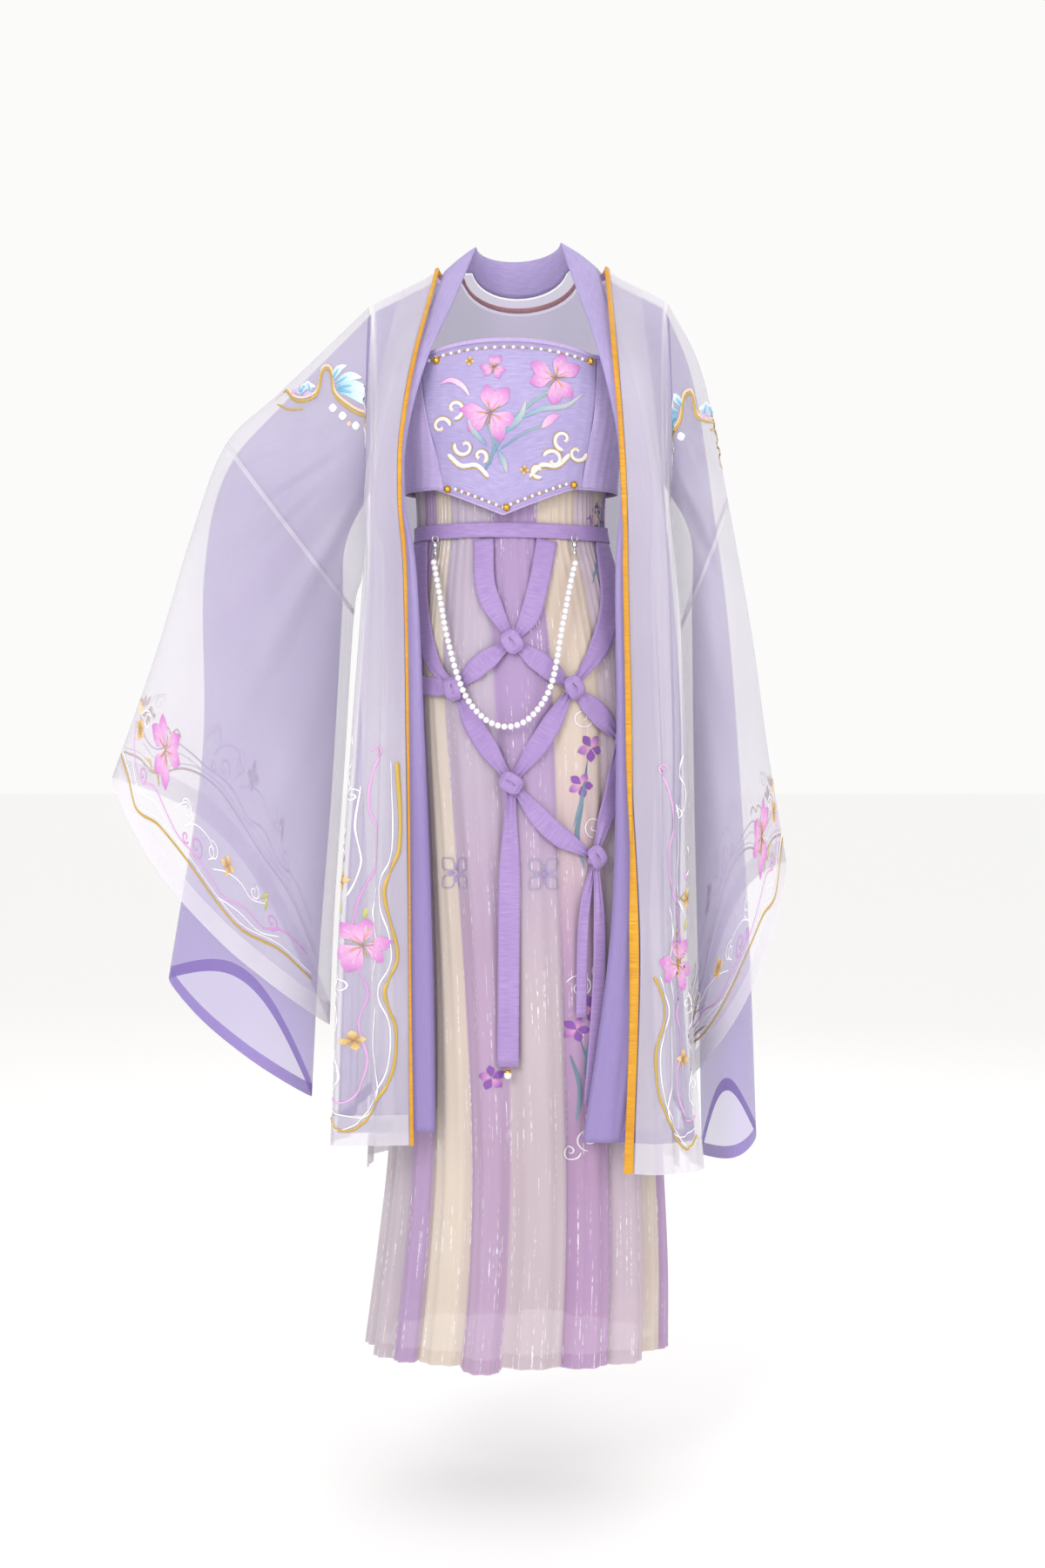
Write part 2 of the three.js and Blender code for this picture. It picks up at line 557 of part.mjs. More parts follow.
add("bodice_back", wall(backPiece, spread(0, 1, 14), bodiceRows, CLOTH), SATIN_SIDE);
const binding = (angle, v) => oval(BODICE, angle, bodiceTop(wrapped(angle)) + v * (BINDING_WIDTH - SEAM));
const wrapped = (angle) => (angle < 88 ? angle + 360 : angle);
add("bodice_binding", wall(binding, round(36), [0, 1], CLOTH + 1.2, true), BINDING);

// ---------------------------------------------------------------- belt, net and pearls
const BELT_DROP = 338;
const BELT_OUT = 3;
const beltAt = (angle, v) => oval(SKIRT, angle, BELT_DROP + (v - 0.5) * BELT_WIDTH, BELT_OUT);
add("belt", wall(beltAt, round(32), [0, 1], RIBBON, true), RIBBON_CLOTH);

// The angle round the skirt of a place on its front, from the distance to the wearer's left and the drop.
function frontAngle(x, drop) {
  const reach = (x - smooth(SKIRT.drop, SKIRT.middleX, drop)) / smooth(SKIRT.drop, SKIRT.halfX, drop);
  return 360 - (Math.acos(clamp(reach, -0.985, 0.985)) * 180) / Math.PI;
}

// A ribbon lying on the skirt along points of x and drop, narrowed where it enters a knot.
function ribbon(path, width, out, ends) {
  const marks = spread(0, 1, path.length - 1);
  const xs = path.map((p) => p[0]);
  const drops = path.map((p) => p[1]);
  return (u, v) => {
    const at = (t) => [smooth(marks, xs, t), smooth(marks, drops, t)];
    const [ahead, behind] = [at(v + 0.01), at(v - 0.01)];
    const [dx, dd] = [ahead[0] - behind[0], ahead[1] - behind[1]];
    const length = Math.hypot(dx, dd);
    const taper = 1 - ends[0] * 0.62 * (1 - ramp(v * 2.6)) - ends[1] * 0.62 * (1 - ramp((1 - v) * 2.6));
    const [x, drop] = at(v);
    const side = (u * width * taper) / 2 / length;
    const [px, pd] = [x + dd * side, drop - dx * side];
    return oval(SKIRT, frontAngle(px, pd), pd, out);
  };
}

const KNOTS = {
  knot_1: [-12, 471],
  knot_2: [-77, 526],
  knot_3: [57, 525],
  knot_4: [-13, 637],
  knot_5: [113, 587],
  knot_6: [83, 726],
};
const KNOT_REACH = 14; // a ribbon stops this far from the middle of its knot
const BELT_EDGE = BELT_DROP + BELT_WIDTH / 2 + 1.2;
// Each length of ribbon: its name, where it starts, any points between, where it ends, and its width.
const LENGTHS = [
  ["net_centre_right", [-46, BELT_EDGE], [[-42, 410]], "knot_1", 1],
  ["net_centre_left", [28, BELT_EDGE + 1], [[20, 395], [8, 440]], "knot_1", 1],
  ["net_side_right", [-121, BELT_EDGE], [[-121, 419], [-106, 492]], "knot_2", 0.8],
  ["net_side_left", [98, BELT_EDGE], [[103, 419], [90, 475]], "knot_3", 1],
  ["net_knot_1_2", "knot_1", [[-48, 497]], "knot_2", 1],
  ["net_knot_1_3", "knot_1", [[24, 498]], "knot_3", 1],
  ["net_hip_right", "knot_2", [[-103, 524]], [-126, 520], 0.9],
  ["net_knot_2_4", "knot_2", [[-50, 580]], "knot_4", 1],
  ["net_knot_3_4", "knot_3", [[26, 580]], "knot_4", 1],
  ["net_knot_3_5", "knot_3", [[87, 554]], "knot_5", 1],
  ["net_knot_4_6", "knot_4", [[33, 692]], "knot_6", 1],
  ["net_knot_5_6", "knot_5", [[104, 655]], "knot_6", 0.8],
  ["net_tail_middle", "knot_4", [[-15, 740], [-16, 850]], [-17, 972], 1.05],
  ["net_tail_rear", "knot_6", [[71, 800]], [68, 915], 0.5],
  ["net_tail_front", "knot_6", [[88, 810], [86, 900]], [77, 1019], 0.6],
];
for (const [name, from, between, to, scale] of LENGTHS) {
  const place = (end) => (typeof end === "string" ? KNOTS[end] : end);
  const path = [place(from), ...between, place(to)];
  const trimmed = (end, next) => {
    const [dx, dd] = [next[0] - end[0], next[1] - end[1]];
    const k = KNOT_REACH / Math.hypot(dx, dd);
    return [end[0] + dx * k, end[1] + dd * k];
  };
  const last = path.length - 1;
  const [first, final] = [trimmed(path[0], path[1]), trimmed(path[last], path[last - 1])];
  if (typeof from === "string") path[0] = first;
  if (typeof to === "string") path[last] = final;
  const ends = [typeof from === "string" ? 1 : 0, typeof to === "string" ? 1 : 0];
  const out = name === "net_tail_front" ? 6.4 : 3;
  const strip = ribbon(path, RIBBON_WIDTH * scale, out, ends);
  add(name, wall(strip, [-1, 0, 1], spread(0.001, 0.999, 7), RIBBON), RIBBON_CLOTH);
}
for (const [name, [x, drop]] of Object.entries(KNOTS)) {
  const angle = frontAngle(x, drop);
  const lump = new THREE.SphereGeometry(1, 10, 7).scale(11, 5.5, 10).rotateZ(radians(angle + 90));
  add(`net_${name}`, lump.translate(...oval(SKIRT, angle, drop, 8.5)), RIBBON_CLOTH);
}

// The strand of pearls hangs from two clasps on the belt; its points are x and drop.
const STRAND = [
  [-96, 372], [-91, 404], [-80, 471], [-62, 533], [-39, 563], [-15, 571], [8, 560], [29, 525], [41, 457],
  [50, 400], [55, 374],
];
const STRAND_OUT = 15.5;
const strandCurve = new THREE.CatmullRomCurve3(
  STRAND.map(([x, drop]) => new THREE.Vector3(...oval(SKIRT, frontAngle(x, drop), drop, STRAND_OUT))),
  false,
  "centripetal",
);
add("pearl_strand", capped(strandCurve, 64, PEARL / 2, 8), PEARLY);

// A round cord along a curve, with flat ends.
function capped(curve, steps, radius, sides) {
  const { normals, binormals } = curve.computeFrenetFrames(steps);
  const points = [];
  for (let i = 0; i <= steps; i += 1)
    for (let k = 0; k < sides; k += 1) {
      const a = (k / sides) * 2 * Math.PI;
      const p = curve.getPointAt(i / steps);
      points.push(p.addScaledVector(normals[i], Math.cos(a) * radius).addScaledVector(binormals[i], Math.sin(a) * radius));
    }
  const quads = [];
  for (let i = 0; i < steps; i += 1)
    for (let k = 0; k < sides; k += 1) {
      const next = (k + 1) % sides;
      quads.push([i * sides + k, i * sides + next, (i + 1) * sides + next, (i + 1) * sides + k]);
    }
  for (const [base, flip] of [[0, false], [steps * sides, true]]) {
    const hub = points.push(points[base].clone().add(points[base + sides / 2]).multiplyScalar(0.5)) - 1;
    for (let k = 0; k < sides; k += 2) {
      const [a, b, c] = [base + k, base + ((k + 1) % sides), base + ((k + 2) % sides)];
      quads.push(flip ? [hub, a, b, c] : [hub, c, b, a]);
    }
  }
  return solid(points, quads);
}

// A clasp under the belt at each end of the strand, and a pearl with a metal cap under the middle tail.
const turned = (profile, sides) => new THREE.LatheGeometry(profile.map(([r, z]) => new THREE.Vector2(r, z)), sides).rotateX(Math.PI / 2);
const CLASP = [[0, 0], [2.6, 1], [3.4, 5], [2, 9], [2, 12], [3.2, 15], [2.2, 18.5], [0, 19.5]];
for (const [name, [x]] of [["clasp_right", STRAND[0]], ["clasp_left", STRAND.at(-1)]]) {
  const [cx, cy, cz] = oval(SKIRT, frontAngle(x, 350), 350, 12);
  add(name, turned(CLASP, 10).translate(cx, cy, cz - 17.5), SILVER);
}
const DROP = [[0, 0], [2.8, 1], [4.5, 3.4], [4.9, 6], [3.9, 8.7], [2.4, 10], [3, 10.6], [1.2, 13.4], [0, 13.8]];
const [dropX, dropY] = oval(SKIRT, frontAngle(-17, 972), 972, 3);
add("pearl_drop", turned(DROP, 12).translate(dropX, dropY, -972 - 14.8), PEARLY);

export default model;
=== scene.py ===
"""A hanfu set filled out as it is worn, with no wearer: bodice, pleated skirt, belt with a knotted net and
pearls, an inner chiffon robe and an outer organza robe, embroidered. Lengths in the functions are
millimetres; a mesh is written in metres. The front faces -Y and +X is the wearer's left."""

import bpy
import numpy as np
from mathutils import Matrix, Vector


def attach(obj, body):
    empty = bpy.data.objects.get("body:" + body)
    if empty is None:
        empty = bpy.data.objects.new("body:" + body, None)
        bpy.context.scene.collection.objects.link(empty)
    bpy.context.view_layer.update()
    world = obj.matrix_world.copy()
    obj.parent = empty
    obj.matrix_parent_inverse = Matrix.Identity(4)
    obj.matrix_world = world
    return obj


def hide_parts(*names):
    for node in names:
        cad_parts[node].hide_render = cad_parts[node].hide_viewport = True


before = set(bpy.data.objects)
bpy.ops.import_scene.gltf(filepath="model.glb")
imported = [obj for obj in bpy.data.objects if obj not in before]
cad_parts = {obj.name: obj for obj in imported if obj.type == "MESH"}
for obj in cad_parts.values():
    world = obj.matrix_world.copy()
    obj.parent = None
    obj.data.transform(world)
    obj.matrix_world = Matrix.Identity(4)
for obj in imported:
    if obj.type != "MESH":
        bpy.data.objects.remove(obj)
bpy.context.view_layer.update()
MM = 0.001


# ------------------------------------------------------------------ camera, light and floor
def aim(thing, target):
    """Turns a camera or lamp so that its -Z axis points from its place to target, with +Y upwards."""
    thing.rotation_euler = (Vector(target) - thing.location).to_track_quat("-Z", "Y").to_euler()


camera = bpy.data.objects.new("camera", bpy.data.cameras.new("camera"))
bpy.context.collection.objects.link(camera)
camera.data.sensor_fit, camera.data.sensor_width = "AUTO", 36
camera.data.lens = 54.2
camera.data.clip_end = 60
camera.location = (0, -2.9, -0.556)
aim(camera, (0, 0, -0.642))
bpy.context.scene.camera = camera


def soft_light(name, place, target, size, power, colour=(1, 1, 1)):
    """A square area lamp at place, aimed at target, size metres across."""
    lamp = bpy.data.lights.new(name, "AREA")
    lamp.shape, lamp.size, lamp.energy, lamp.color = "SQUARE", size, power, colour
    thing = bpy.data.objects.new(name, lamp)
    bpy.context.collection.objects.link(thing)
    thing.location = place
    aim(thing, target)


soft_light("key", (-1.5, -3.2, 0.9), (0, 0, -0.6), 1.4, 42)
soft_light("fill", (1.7, -3.0, 0.1), (0, 0, -0.7), 1.8, 20)
soft_light("back", (0.6, 2.6, 1.2), (0, 0, -0.6), 2.0, 16)
world = bpy.data.worlds.new("studio")
bpy.context.scene.world = world
world.use_nodes = True
world.node_tree.nodes["Background"].inputs[0].default_value = (1.0, 0.995, 0.99, 1)
world.node_tree.nodes["Background"].inputs[1].default_value = 0.97
scene = bpy.context.scene
scene.view_settings.view_transform = "Standard"
scene.cycles.transparent_max_bounces = 40
scene.cycles.max_bounces = 6
scene.cycles.diffuse_bounces = 2


# ------------------------------------------------------------------ curves
def mix(a, b, t):
    """The value a share t of the way from a to b."""
    return a + (b - a) * t


def ramp(x):
    """An eased step: 0 up to 0, 1 from 1, 3t^2 - 2t^3 between."""
    t = np.clip(x, 0, 1)
    return t * t * (3 - 2 * t)


def smooth(xs, ys, x):
    """A curve through (xs, ys) at x: between neighbours a cubic whose slope at each is that of the line
    through the two beside it, and a straight line past the ends. Each of ys may be an array like x."""
    x = np.asarray(x, float)
    last = len(xs) - 1
    beside = [(max(i - 1, 0), min(i + 1, last)) for i in range(last + 1)]
    slopes = [(ys[b] - ys[a]) / (xs[b] - xs[a]) for a, b in beside]
    value = ys[0] + slopes[0] * (x - xs[0])
    for i in range(last):
        step = xs[i + 1] - xs[i]
        t = (x - xs[i]) / step
        t2, t3 = t * t, t * t * t
        cubic = (
            ys[i] * (2 * t3 - 3 * t2 + 1)
            + slopes[i] * step * (t3 - 2 * t2 + t)
            + ys[i + 1] * (3 * t2 - 2 * t3)
            + slopes[i + 1] * step * (t3 - t2)
        )
        value = np.where(x >= xs[i], cubic, value)
    return np.where(x > xs[-1], ys[-1] + slopes[-1] * (x - xs[-1]), value)


def circle(count):
    """Evenly spaced angles once round, with the last one before the first."""
    return np.linspace(0, 2 * np.pi, count + 1)[:-1]


def table(heading, rows):
    """A dictionary of named columns from a heading and one row of numbers for each section."""
    return dict(zip(heading.split(), np.array(rows, float).T))


# ------------------------------------------------------------------ sizes, as in the solids
EASE = 8  # the inner robe lies this far inside the outer one
ARMPIT = 300  # drop of the outer robe's armpit
ARMHOLE_HALF = 58
NECK_DEPTH, NECK_FALL = 48, 12
CUFF_LIFT = 60
PLAN_COLUMNS = "drop edgeX edgeY foldX foldY sideX sideY band goldX"
PLAN = {
    "right": table(PLAN_COLUMNS, [
        (0, 65, 18, 126, 8, 184, 0, 0.3, 108),
        (118, 112, -100, 154, -98, 186, 0, 0.42, 131),
        (215, 138, -110, 174, -114, 189, 0, 0.46, 146),
        (300, 141, -110, 184, -112, 188, 0, 0.43, 148),
        (381, 128, -110, 184, -114, 180, -2, 0.32, 143),
        (587, 118, -112, 198, -118, 180, 0, 0.25, 141),
        (825, 110, -120, 215, -122, 184, 4, 0.2, 138),
        (1100, 106, -134, 224, -130, 192, 8, 0.18, 133),
    ]),
    "left": table(PLAN_COLUMNS, [
        (0, 55, 18, 120, 8, 176, 0, 0.34, 108),
        (118, 89, -100, 142, -98, 178, 0, 0.38, 113),
        (215, 113, -110, 154, -114, 181, 0, 0.46, 120),
        (300, 118, -110, 168, -112, 180, 0, 0.4, 124),
        (381, 112, -110, 178, -112, 174, -2, 0.3, 126),
        (587, 113, -112, 190, -118, 178, 0, 0.26, 131),
        (825, 106, -126, 190, -126, 184, 4, 0.22, 139),
        (1100, 68, -148, 208, -134, 194, 8, 0.15, 131),
    ]),
}
BACK = table("drop foldX foldY middleY", [
    (0, 70, 44, 64),
    (118, 110, 90, 106),
    (215, 125, 102, 118),
    (300, 135, 104, 122),
    (381, 140, 107, 127),
    (587, 146, 117, 143),
    (825, 152, 129, 154),
    (1100, 162, 143, 166),
])
FOLD_COLUMNS = "across width depth start full"
FRONT_FOLDS = {
    "right": table(FOLD_COLUMNS, [
        (0.3, 0.09, -7, 330, 1000),
        (0.46, 0.07, 6, 140, 700),
        (0.7, 0.1, -9, 420, 1050),
    ]),
    "left": table(FOLD_COLUMNS, [
        (0.3, 0.08, 7, 420, 900),
        (0.43, 0.07, -8, 300, 1000),
        (0.72, 0.1, -8, 380, 1050),
    ]),
}
BACK_FOLDS = table(FOLD_COLUMNS, [
    (0.13, 0.035, 10, 260, 1000),
    (0.27, 0.04, -12, 200, 900),
    (0.4, 0.035, 10, 330, 1050),
    (0.53, 0.045, -13, 160, 950),
    (0.66, 0.035, 11, 300, 1000),
    (0.79, 0.04, -11, 220, 1050),
    (0.9, 0.03, 8, 400, 1000),
])
SLEEVE_COLUMNS = "topX topY topZ seamX seamY seamZ half"
SLEEVE = {
    "outer_right": table(SLEEVE_COLUMNS, [
        (297, 0, -163, 196, 0, -385, 58),
        (362, -8, -227, 206, -4, -432, 56),
        (402, -20, -335, 218, -10, -621, 55),
        (446, -30, -484, 230, -16, -792, 54),
        (498, -38, -633, 236, -20, -936, 52),
    ]),
    "inner_right": table(SLEEVE_COLUMNS, [
        (290, 0, -174, 216, 0, -345, 46),
        (362, -8, -262, 221, -4, -432, 41),
        (388, -20, -390, 233, -10, -640, 36),
        (390, -28, -610, 249, -16, -850, 31),
        (431, -34, -878, 258, -22, -1024, 42),
    ]),
    "outer_left": table(SLEEVE_COLUMNS, [
        (220, 0, -140, 188, 0, -385, 60),
        (252, 0, -296, 194, 0, -450, 60),
        (281, -8, -459, 198, 0, -642, 59),
        (300, -14, -598, 202, -2, -835, 58),
        (322, -24, -736, 206, -4, -1003, 58),
    ]),
    "inner_left": table(SLEEVE_COLUMNS, [
        (209, 0, -152, 206, 0, -340, 48),
        (236, 0, -320, 208, 0, -450, 45),
        (256, -8, -490, 211, 0, -655, 40),
        (276, -12, -790, 217, -2, -905, 33),
        (287, -18, -1072, 221, -4, -1098, 40),
    ]),
}
ROBES = {
    "outer": {
        "out": 0, "hems": {"right": 1064, "left": 1095, "back": 1118}, "hem": 36, "cuff": 26,
        "fall": 66, "bow": 36, "taper": 0.2,
    },
    "inner": {
        "out": -EASE, "hems": {"right": 1050, "left": 1060, "back": 1098}, "hem": 15, "cuff": 15,
        "fall": 44, "bow": 10, "taper": 0.4,
    },
}
SIDES = {"right": -1, "left": 1}
SKIRT = table("drop middleX middleY halfX halfY pleat", [
    (236, -14, 0, 120, 87, 1),
    (334, -14, 0, 115, 84, 2.5),
    (400, -11, 0, 130, 98, 4),
    (500, -6, 0, 148, 112, 6),
    (700, 0, 0, 153, 118, 9),
    (900, 3, 0, 159, 124, 11),
    (1090, 3, 0, 170, 131, 13),
    (1230, -2, 2, 181, 139, 14),
    (1335, -9, 3, 188, 146, 15),
])
PLEATS = 18
REAR_PLEATS = [0, 22, 45, 67, 90, 112, 135, 157, 180]  # angles where the pleats start, from the left side
PLEATS_TOP = np.array(REAR_PLEATS + [193, 205, 218, 231, 259, 287, 313, 332, 346, 360], float)
PLEATS_HEM = np.array(REAR_PLEATS + [198, 215, 228, 249, 265, 289, 310, 330, 345, 360], float)
BODICE = table("drop middleX middleY halfX halfY", [
    (80, -15, -2, 128, 90),
    (140, -15, -8, 137, 100),
    (205, -15, -13, 139, 103),
    (265, -14, -8, 131, 96),
    (320, -14, -6, 128, 93),
])


# ------------------------------------------------------------------ the robes' surfaces
def plan(side, column, drop):
    """A column of the robes' plan at a drop."""
    return smooth(PLAN[side]["drop"], PLAN[side][column], drop)


def shoulder_line(x):
    """Height of the shoulder line at a distance from the middle: a slope, raised where it meets the neck."""
    return 12 - (np.abs(x) - 57) * 0.53 + 16 * ramp((122 - np.abs(x)) / 60)


def height(x, drop):
    """Height of the cloth at a drop: the shoulder line at 0, level from the armpit down."""
    return np.where(drop < ARMPIT, mix(shoulder_line(x), -ARMPIT, drop / ARMPIT), -drop)


def lens(t):
    """Half depth of a flat tube of cloth, closed to a crease at 0 and 1: a sine to the power 0.6."""
    s = np.sin(np.pi * np.asarray(t, float))
    return np.sign(s) * np.abs(s) ** 0.6


def side_y(side, drop, face, out):
    """The armhole's edge before (-1) or behind (1) the arm, and past the armpit the one side seam."""
    hole = face * (ARMHOLE_HALF + out * 1.3) * lens(np.clip(drop, 0, ARMPIT) / ARMPIT)
    return np.where(drop < ARMPIT, hole, plan(side, "sideY", drop))


def side_x(side, drop, out):
    """Distance of the side seam from the middle, in a robe eased out by a distance."""
    return plan(side, "sideX", drop) + out * mix(0.3, 1, ramp(drop / ARMPIT))


def armpit_lift(drop, out, near):
    """The inner robe's armpits sit higher, by more the nearer a point is to the side, from 0 to 1."""
    return -out * 3.4 * ramp(near) * ramp(drop / ARMPIT)


def fold_depth(folds, across, drop):
    """Sum of bell-shaped folds, each growing from the drop where it starts to the one where it is full."""
    depth = 0
    for a, w, d, start, full in zip(*folds.values()):
        depth = depth + d * ramp((drop - start) / (full - start)) * np.exp(-(((across - a) / w) ** 2))
    return depth


def ripple(across, drop, out):
    """Small soft folds down a panel: three waves across it that grow from the chest to the hem. Both robes
    share the large one, and each has its own small ones."""
    own = 0.7 if out < 0 else 0.0
    shared = 2.6 * np.sin(across * 34 + 0.6 * np.sin(drop / 240))
    small = 1.1 * np.sin(across * 71 + own * 5 + drop / 310)
    fine = 0.6 * np.sin(across * 133 - own * 3 - drop / 190)
    return (shared + (small + fine)) * ramp((drop - 90) / 520)


def upwards(z):
    """The share of a robe's ease that is upwards: all over the shoulders, none from the chest down."""
    return 1.35 * ramp((z + 150) / 110)


def push(x, y, out):
    """Moves a level point out from the body's axis by a distance."""
    k = 1 + out / np.maximum(np.hypot(x, y), 1)
    return x * k, y * k


def front(side, across, drop, out=0, lift=0):
    """The front of a robe: in plan a smooth curve through the edge, the fold and the side seam, each eased
    out, then pushed out by its folds and by lift. across is 0 at the edge and 1 at the side seam."""
    across, drop = np.broadcast_arrays(np.asarray(across, float), np.asarray(drop, float))
    level = ramp(drop / 100)
    xs = [
        plan(side, "edgeX", drop) + out * mix(1, 0.3, level),
        plan(side, "foldX", drop) + out * 0.9,
        side_x(side, drop, out),
    ]
    ys = [
        plan(side, "edgeY", drop) - out * level,
        plan(side, "foldY", drop) - out * 0.9 * level,
        side_y(side, drop, -1, out),
    ]
    x, y = smooth([0, 0.5, 1], xs, across), smooth([0, 0.5, 1], ys, across)
    z = height(x, drop)
    near = ramp((0.98 - across) * 6)
    x, y = push(x, y, fold_depth(FRONT_FOLDS[side], across, drop) + ripple(across, drop, out) * near + lift)
    raised = z + out * upwards(z) + armpit_lift(drop, out, across * 2 - 1) + lift * upwards(z)
    return SIDES[side] * x, y, raised


def across_at(side, drop, x):
    """How far across a front a distance from the middle is, by halving the range 24 times."""
    low, high = np.zeros_like(x * 1.0), np.full_like(x * 1.0, 0.56)
    stations = [plan(side, c, drop) for c in ("edgeX", "foldX", "sideX")]
    for _ in range(24):
        middle = (low + high) / 2
        below = smooth([0, 0.5, 1], stations, middle) < x
        low, high = np.where(below, middle, low), np.where(below, high, middle)
    return low


def gold_at(side, drop):
    """How far across a front the outer robe's edge runs at a drop."""
    drop = np.asarray(drop, float)
    return across_at(side, drop, plan(side, "goldX", drop))


def shoulder_row(across, out):
    """The back's top row: the fronts' shoulder line, and the collar's edge in an arc behind the neck."""
    right = front("right", np.clip(1 - across * 4, 0, 1), 0, out)
    left = front("left", np.clip(1 - (1 - across) * 4, 0, 1), 0, out)
    turn = np.pi * np.clip(across * 2 - 0.5, 0, 1)
    bow, t = np.sin(turn), (1 - np.cos(turn)) / 2
    shift = (0, NECK_DEPTH * bow, -NECK_FALL * bow)
    return [mix(a, b, t) + s for a, b, s in zip(right, left, shift)]


def back(across, drop, out=0, lift=0):
    """The back of a robe: from the shoulder row it settles, by a quarter sine over 150 mm, on a smooth curve
    through both side seams, both folds and the middle, pushed out by its folds and by lift."""
    across, drop = np.broadcast_arrays(np.asarray(across, float), np.asarray(drop, float))
    fold_x = smooth(BACK["drop"], BACK["foldX"], drop)
    fold_x, fold_y = push(fold_x, smooth(BACK["drop"], BACK["foldY"], drop), out)
    xs = [-side_x("right", drop, out), -fold_x, 0 * drop, fold_x, side_x("left", drop, out)]
    middle = smooth(BACK["drop"], BACK["middleY"], drop) + out
    ys = [side_y("right", drop, 1, out), fold_y, middle, fold_y, side_y("left", drop, 1, out)]
    stations = [0, 0.25, 0.5, 0.75, 1]
    ridge = shoulder_row(across, out)
    settle = np.sin(np.clip(drop / 150, 0, 1) * np.pi / 2)
    x, full = mix(ridge[0], smooth(stations, xs, across), settle), smooth(stations, ys, across)
    near = np.clip((0.5 - np.abs(across - 0.5)) / 0.02, 0, 1)
    y = mix(full, mix(ridge[1], full, settle), near)
    z = np.where(drop < ARMPIT, mix(ridge[2], -ARMPIT, drop / ARMPIT), -drop)
    fade = ramp((0.5 - np.abs(across - 0.5)) * 14)
    x, y = push(x, y, fold_depth(BACK_FOLDS, across, drop) + ripple(across * 1.7, drop, out) * fade + lift)
    return x, y, z + armpit_lift(drop, out, np.abs(across - 0.5) * 4 - 1) + lift * upwards(z)


def neckline(right, left, fall):
    """A line behind the neck between two fractions across the fronts, hanging to a drop in the middle. It
    gives two functions: the point (across, drop) at a turn from 0 to 1, and the drop at a place across."""
    start, end = (1 - right) / 4, 1 - (1 - left) / 4

    def at(turn):
        return mix(start, end, (1 - np.cos(np.pi * turn)) / 2), fall * np.sin(np.pi * turn)

    def drop(across):
        reach = (2 * across - start - end) / (end - start)
        return fall * np.sqrt(np.clip(1 - reach * reach, 0, 1))

    return at, drop


NECK = 150  # length given to the stretch behind the neck in an edging


def edging(place, fall, along, out, lift=0):
    """A strip up the right front, where along is minus the drop, behind the neck from 0 to NECK, and down the
    left front, where along is NECK and the drop. place(side, drop) is the fraction across each front."""
    along = np.asarray(along, float)
    down = np.maximum(-along, 0)
    right = front("right", place("right", down), down, out, lift)
    down = np.maximum(along - NECK, 0)
    left = front("left", place("left", down), down, out, lift)
    zero = np.zeros_like(along)
    at, _ = neckline(place("right", zero), place("left", zero), fall)
    nape = back(*at(np.clip(along / NECK, 0, 1)), out, lift)
    return [np.where(along < 0, a, np.where(along > NECK, c, b)) for a, b, c in zip(right, nape, left)]


def sleeve_fold(x, z):
    """Soft folds that fan out from the armpit: two waves in the angle about a point above it."""
    angle = np.arctan2(-200 - z, x - 150)
    return 3.5 * np.sin(angle * 19) - 2.5 * np.sin(angle * 33 + 1)


def sleeve(side, robe, s, t, lift=0):
    """A sleeve: s from the armhole, 0, through its sections to the cuff, 5; t round the tube, from the top
    fold, 0, down the front to the bottom seam, 1, and up the back to 2. Each section is a lens about a line
    from its top to its seam; the cuff's front bows out and its back hangs higher."""
    s, t = np.broadcast_arrays(np.asarray(s, float), np.asarray(t, float))
    rows, made = SLEEVE[f"{robe}_{side}"], ROBES[robe]
    out, sign = made["out"], SIDES[side]
    turn = np.mod(t, 2)
    low, face = np.where(turn < 1, turn, 2 - turn), np.where(turn < 1, -1.0, 1.0)
    drop = low * (ARMPIT - 1e-6)
    x0 = side_x(side, drop, out)
    z0 = height(x0, drop)
    points = [[sign * x0, side_y(side, drop, face, out), z0 + out * upwards(z0) + armpit_lift(drop, out, 1)]]
    for tx, ty, tz, sx, sy, sz, half in zip(*rows.values()):
        depth = face * half * lens(low) * (1 - made["taper"] * low)
        points.append([sign * mix(tx, sx, low), mix(ty, sy, low) + depth, mix(tz, sz, low)])
    end, before = points[-1], points[-2]
    hang = np.where(face < 0, made["bow"] * np.sin(np.pi * low**0.8), -CUFF_LIFT * np.sin(np.pi * low))
    length = np.hypot(end[0] - before[0], end[2] - before[2])
    end[0] = end[0] + (end[0] - before[0]) * hang / length
    end[2] = end[2] + (end[2] - before[2]) * hang / length
    stations = list(range(len(points)))
    x, y, z = (smooth(stations, [p[k] for p in points], s) for k in range(3))
    wide = np.sin(np.pi * low)
    y = y + face * sleeve_fold(np.abs(x), z) * wide * ramp(s / 2)
    own = 0.9 if robe == "outer" else -0.9
    y = y + face * own * np.sin(np.arctan2(-160 - z, np.abs(x) - 120) * 61 + own) * wide * ramp(s / 1.5)
    return x, y + face * lift * np.clip(wide * 3, 0, 1), z


# ------------------------------------------------------------------ the skirt's and the bodice's surfaces
def oval(outline, angle, drop, out=0):
    """The point of an outline's ellipse at an angle in degrees and a drop, moved out by a distance."""
    at = {c: smooth(outline["drop"], outline[c], drop) for c in ("middleX", "middleY", "halfX", "halfY")}
    a = np.radians(angle)
    x = at["middleX"] + (at["halfX"] + out) * np.cos(a)
    return x, at["middleY"] + (at["halfY"] + out) * np.sin(a), -np.asarray(drop, float) + 0 * x


def pleat_angle(pleat, drop):
    """The angle of a place in the pleats, which hang straight, so their angles shift from waist to hem."""
    whole = np.arange(len(PLEATS_TOP))
    share = ramp((np.asarray(drop, float) - 380) / 900)
    return mix(np.interp(pleat, whole, PLEATS_TOP), np.interp(pleat, whole, PLEATS_HEM), share)


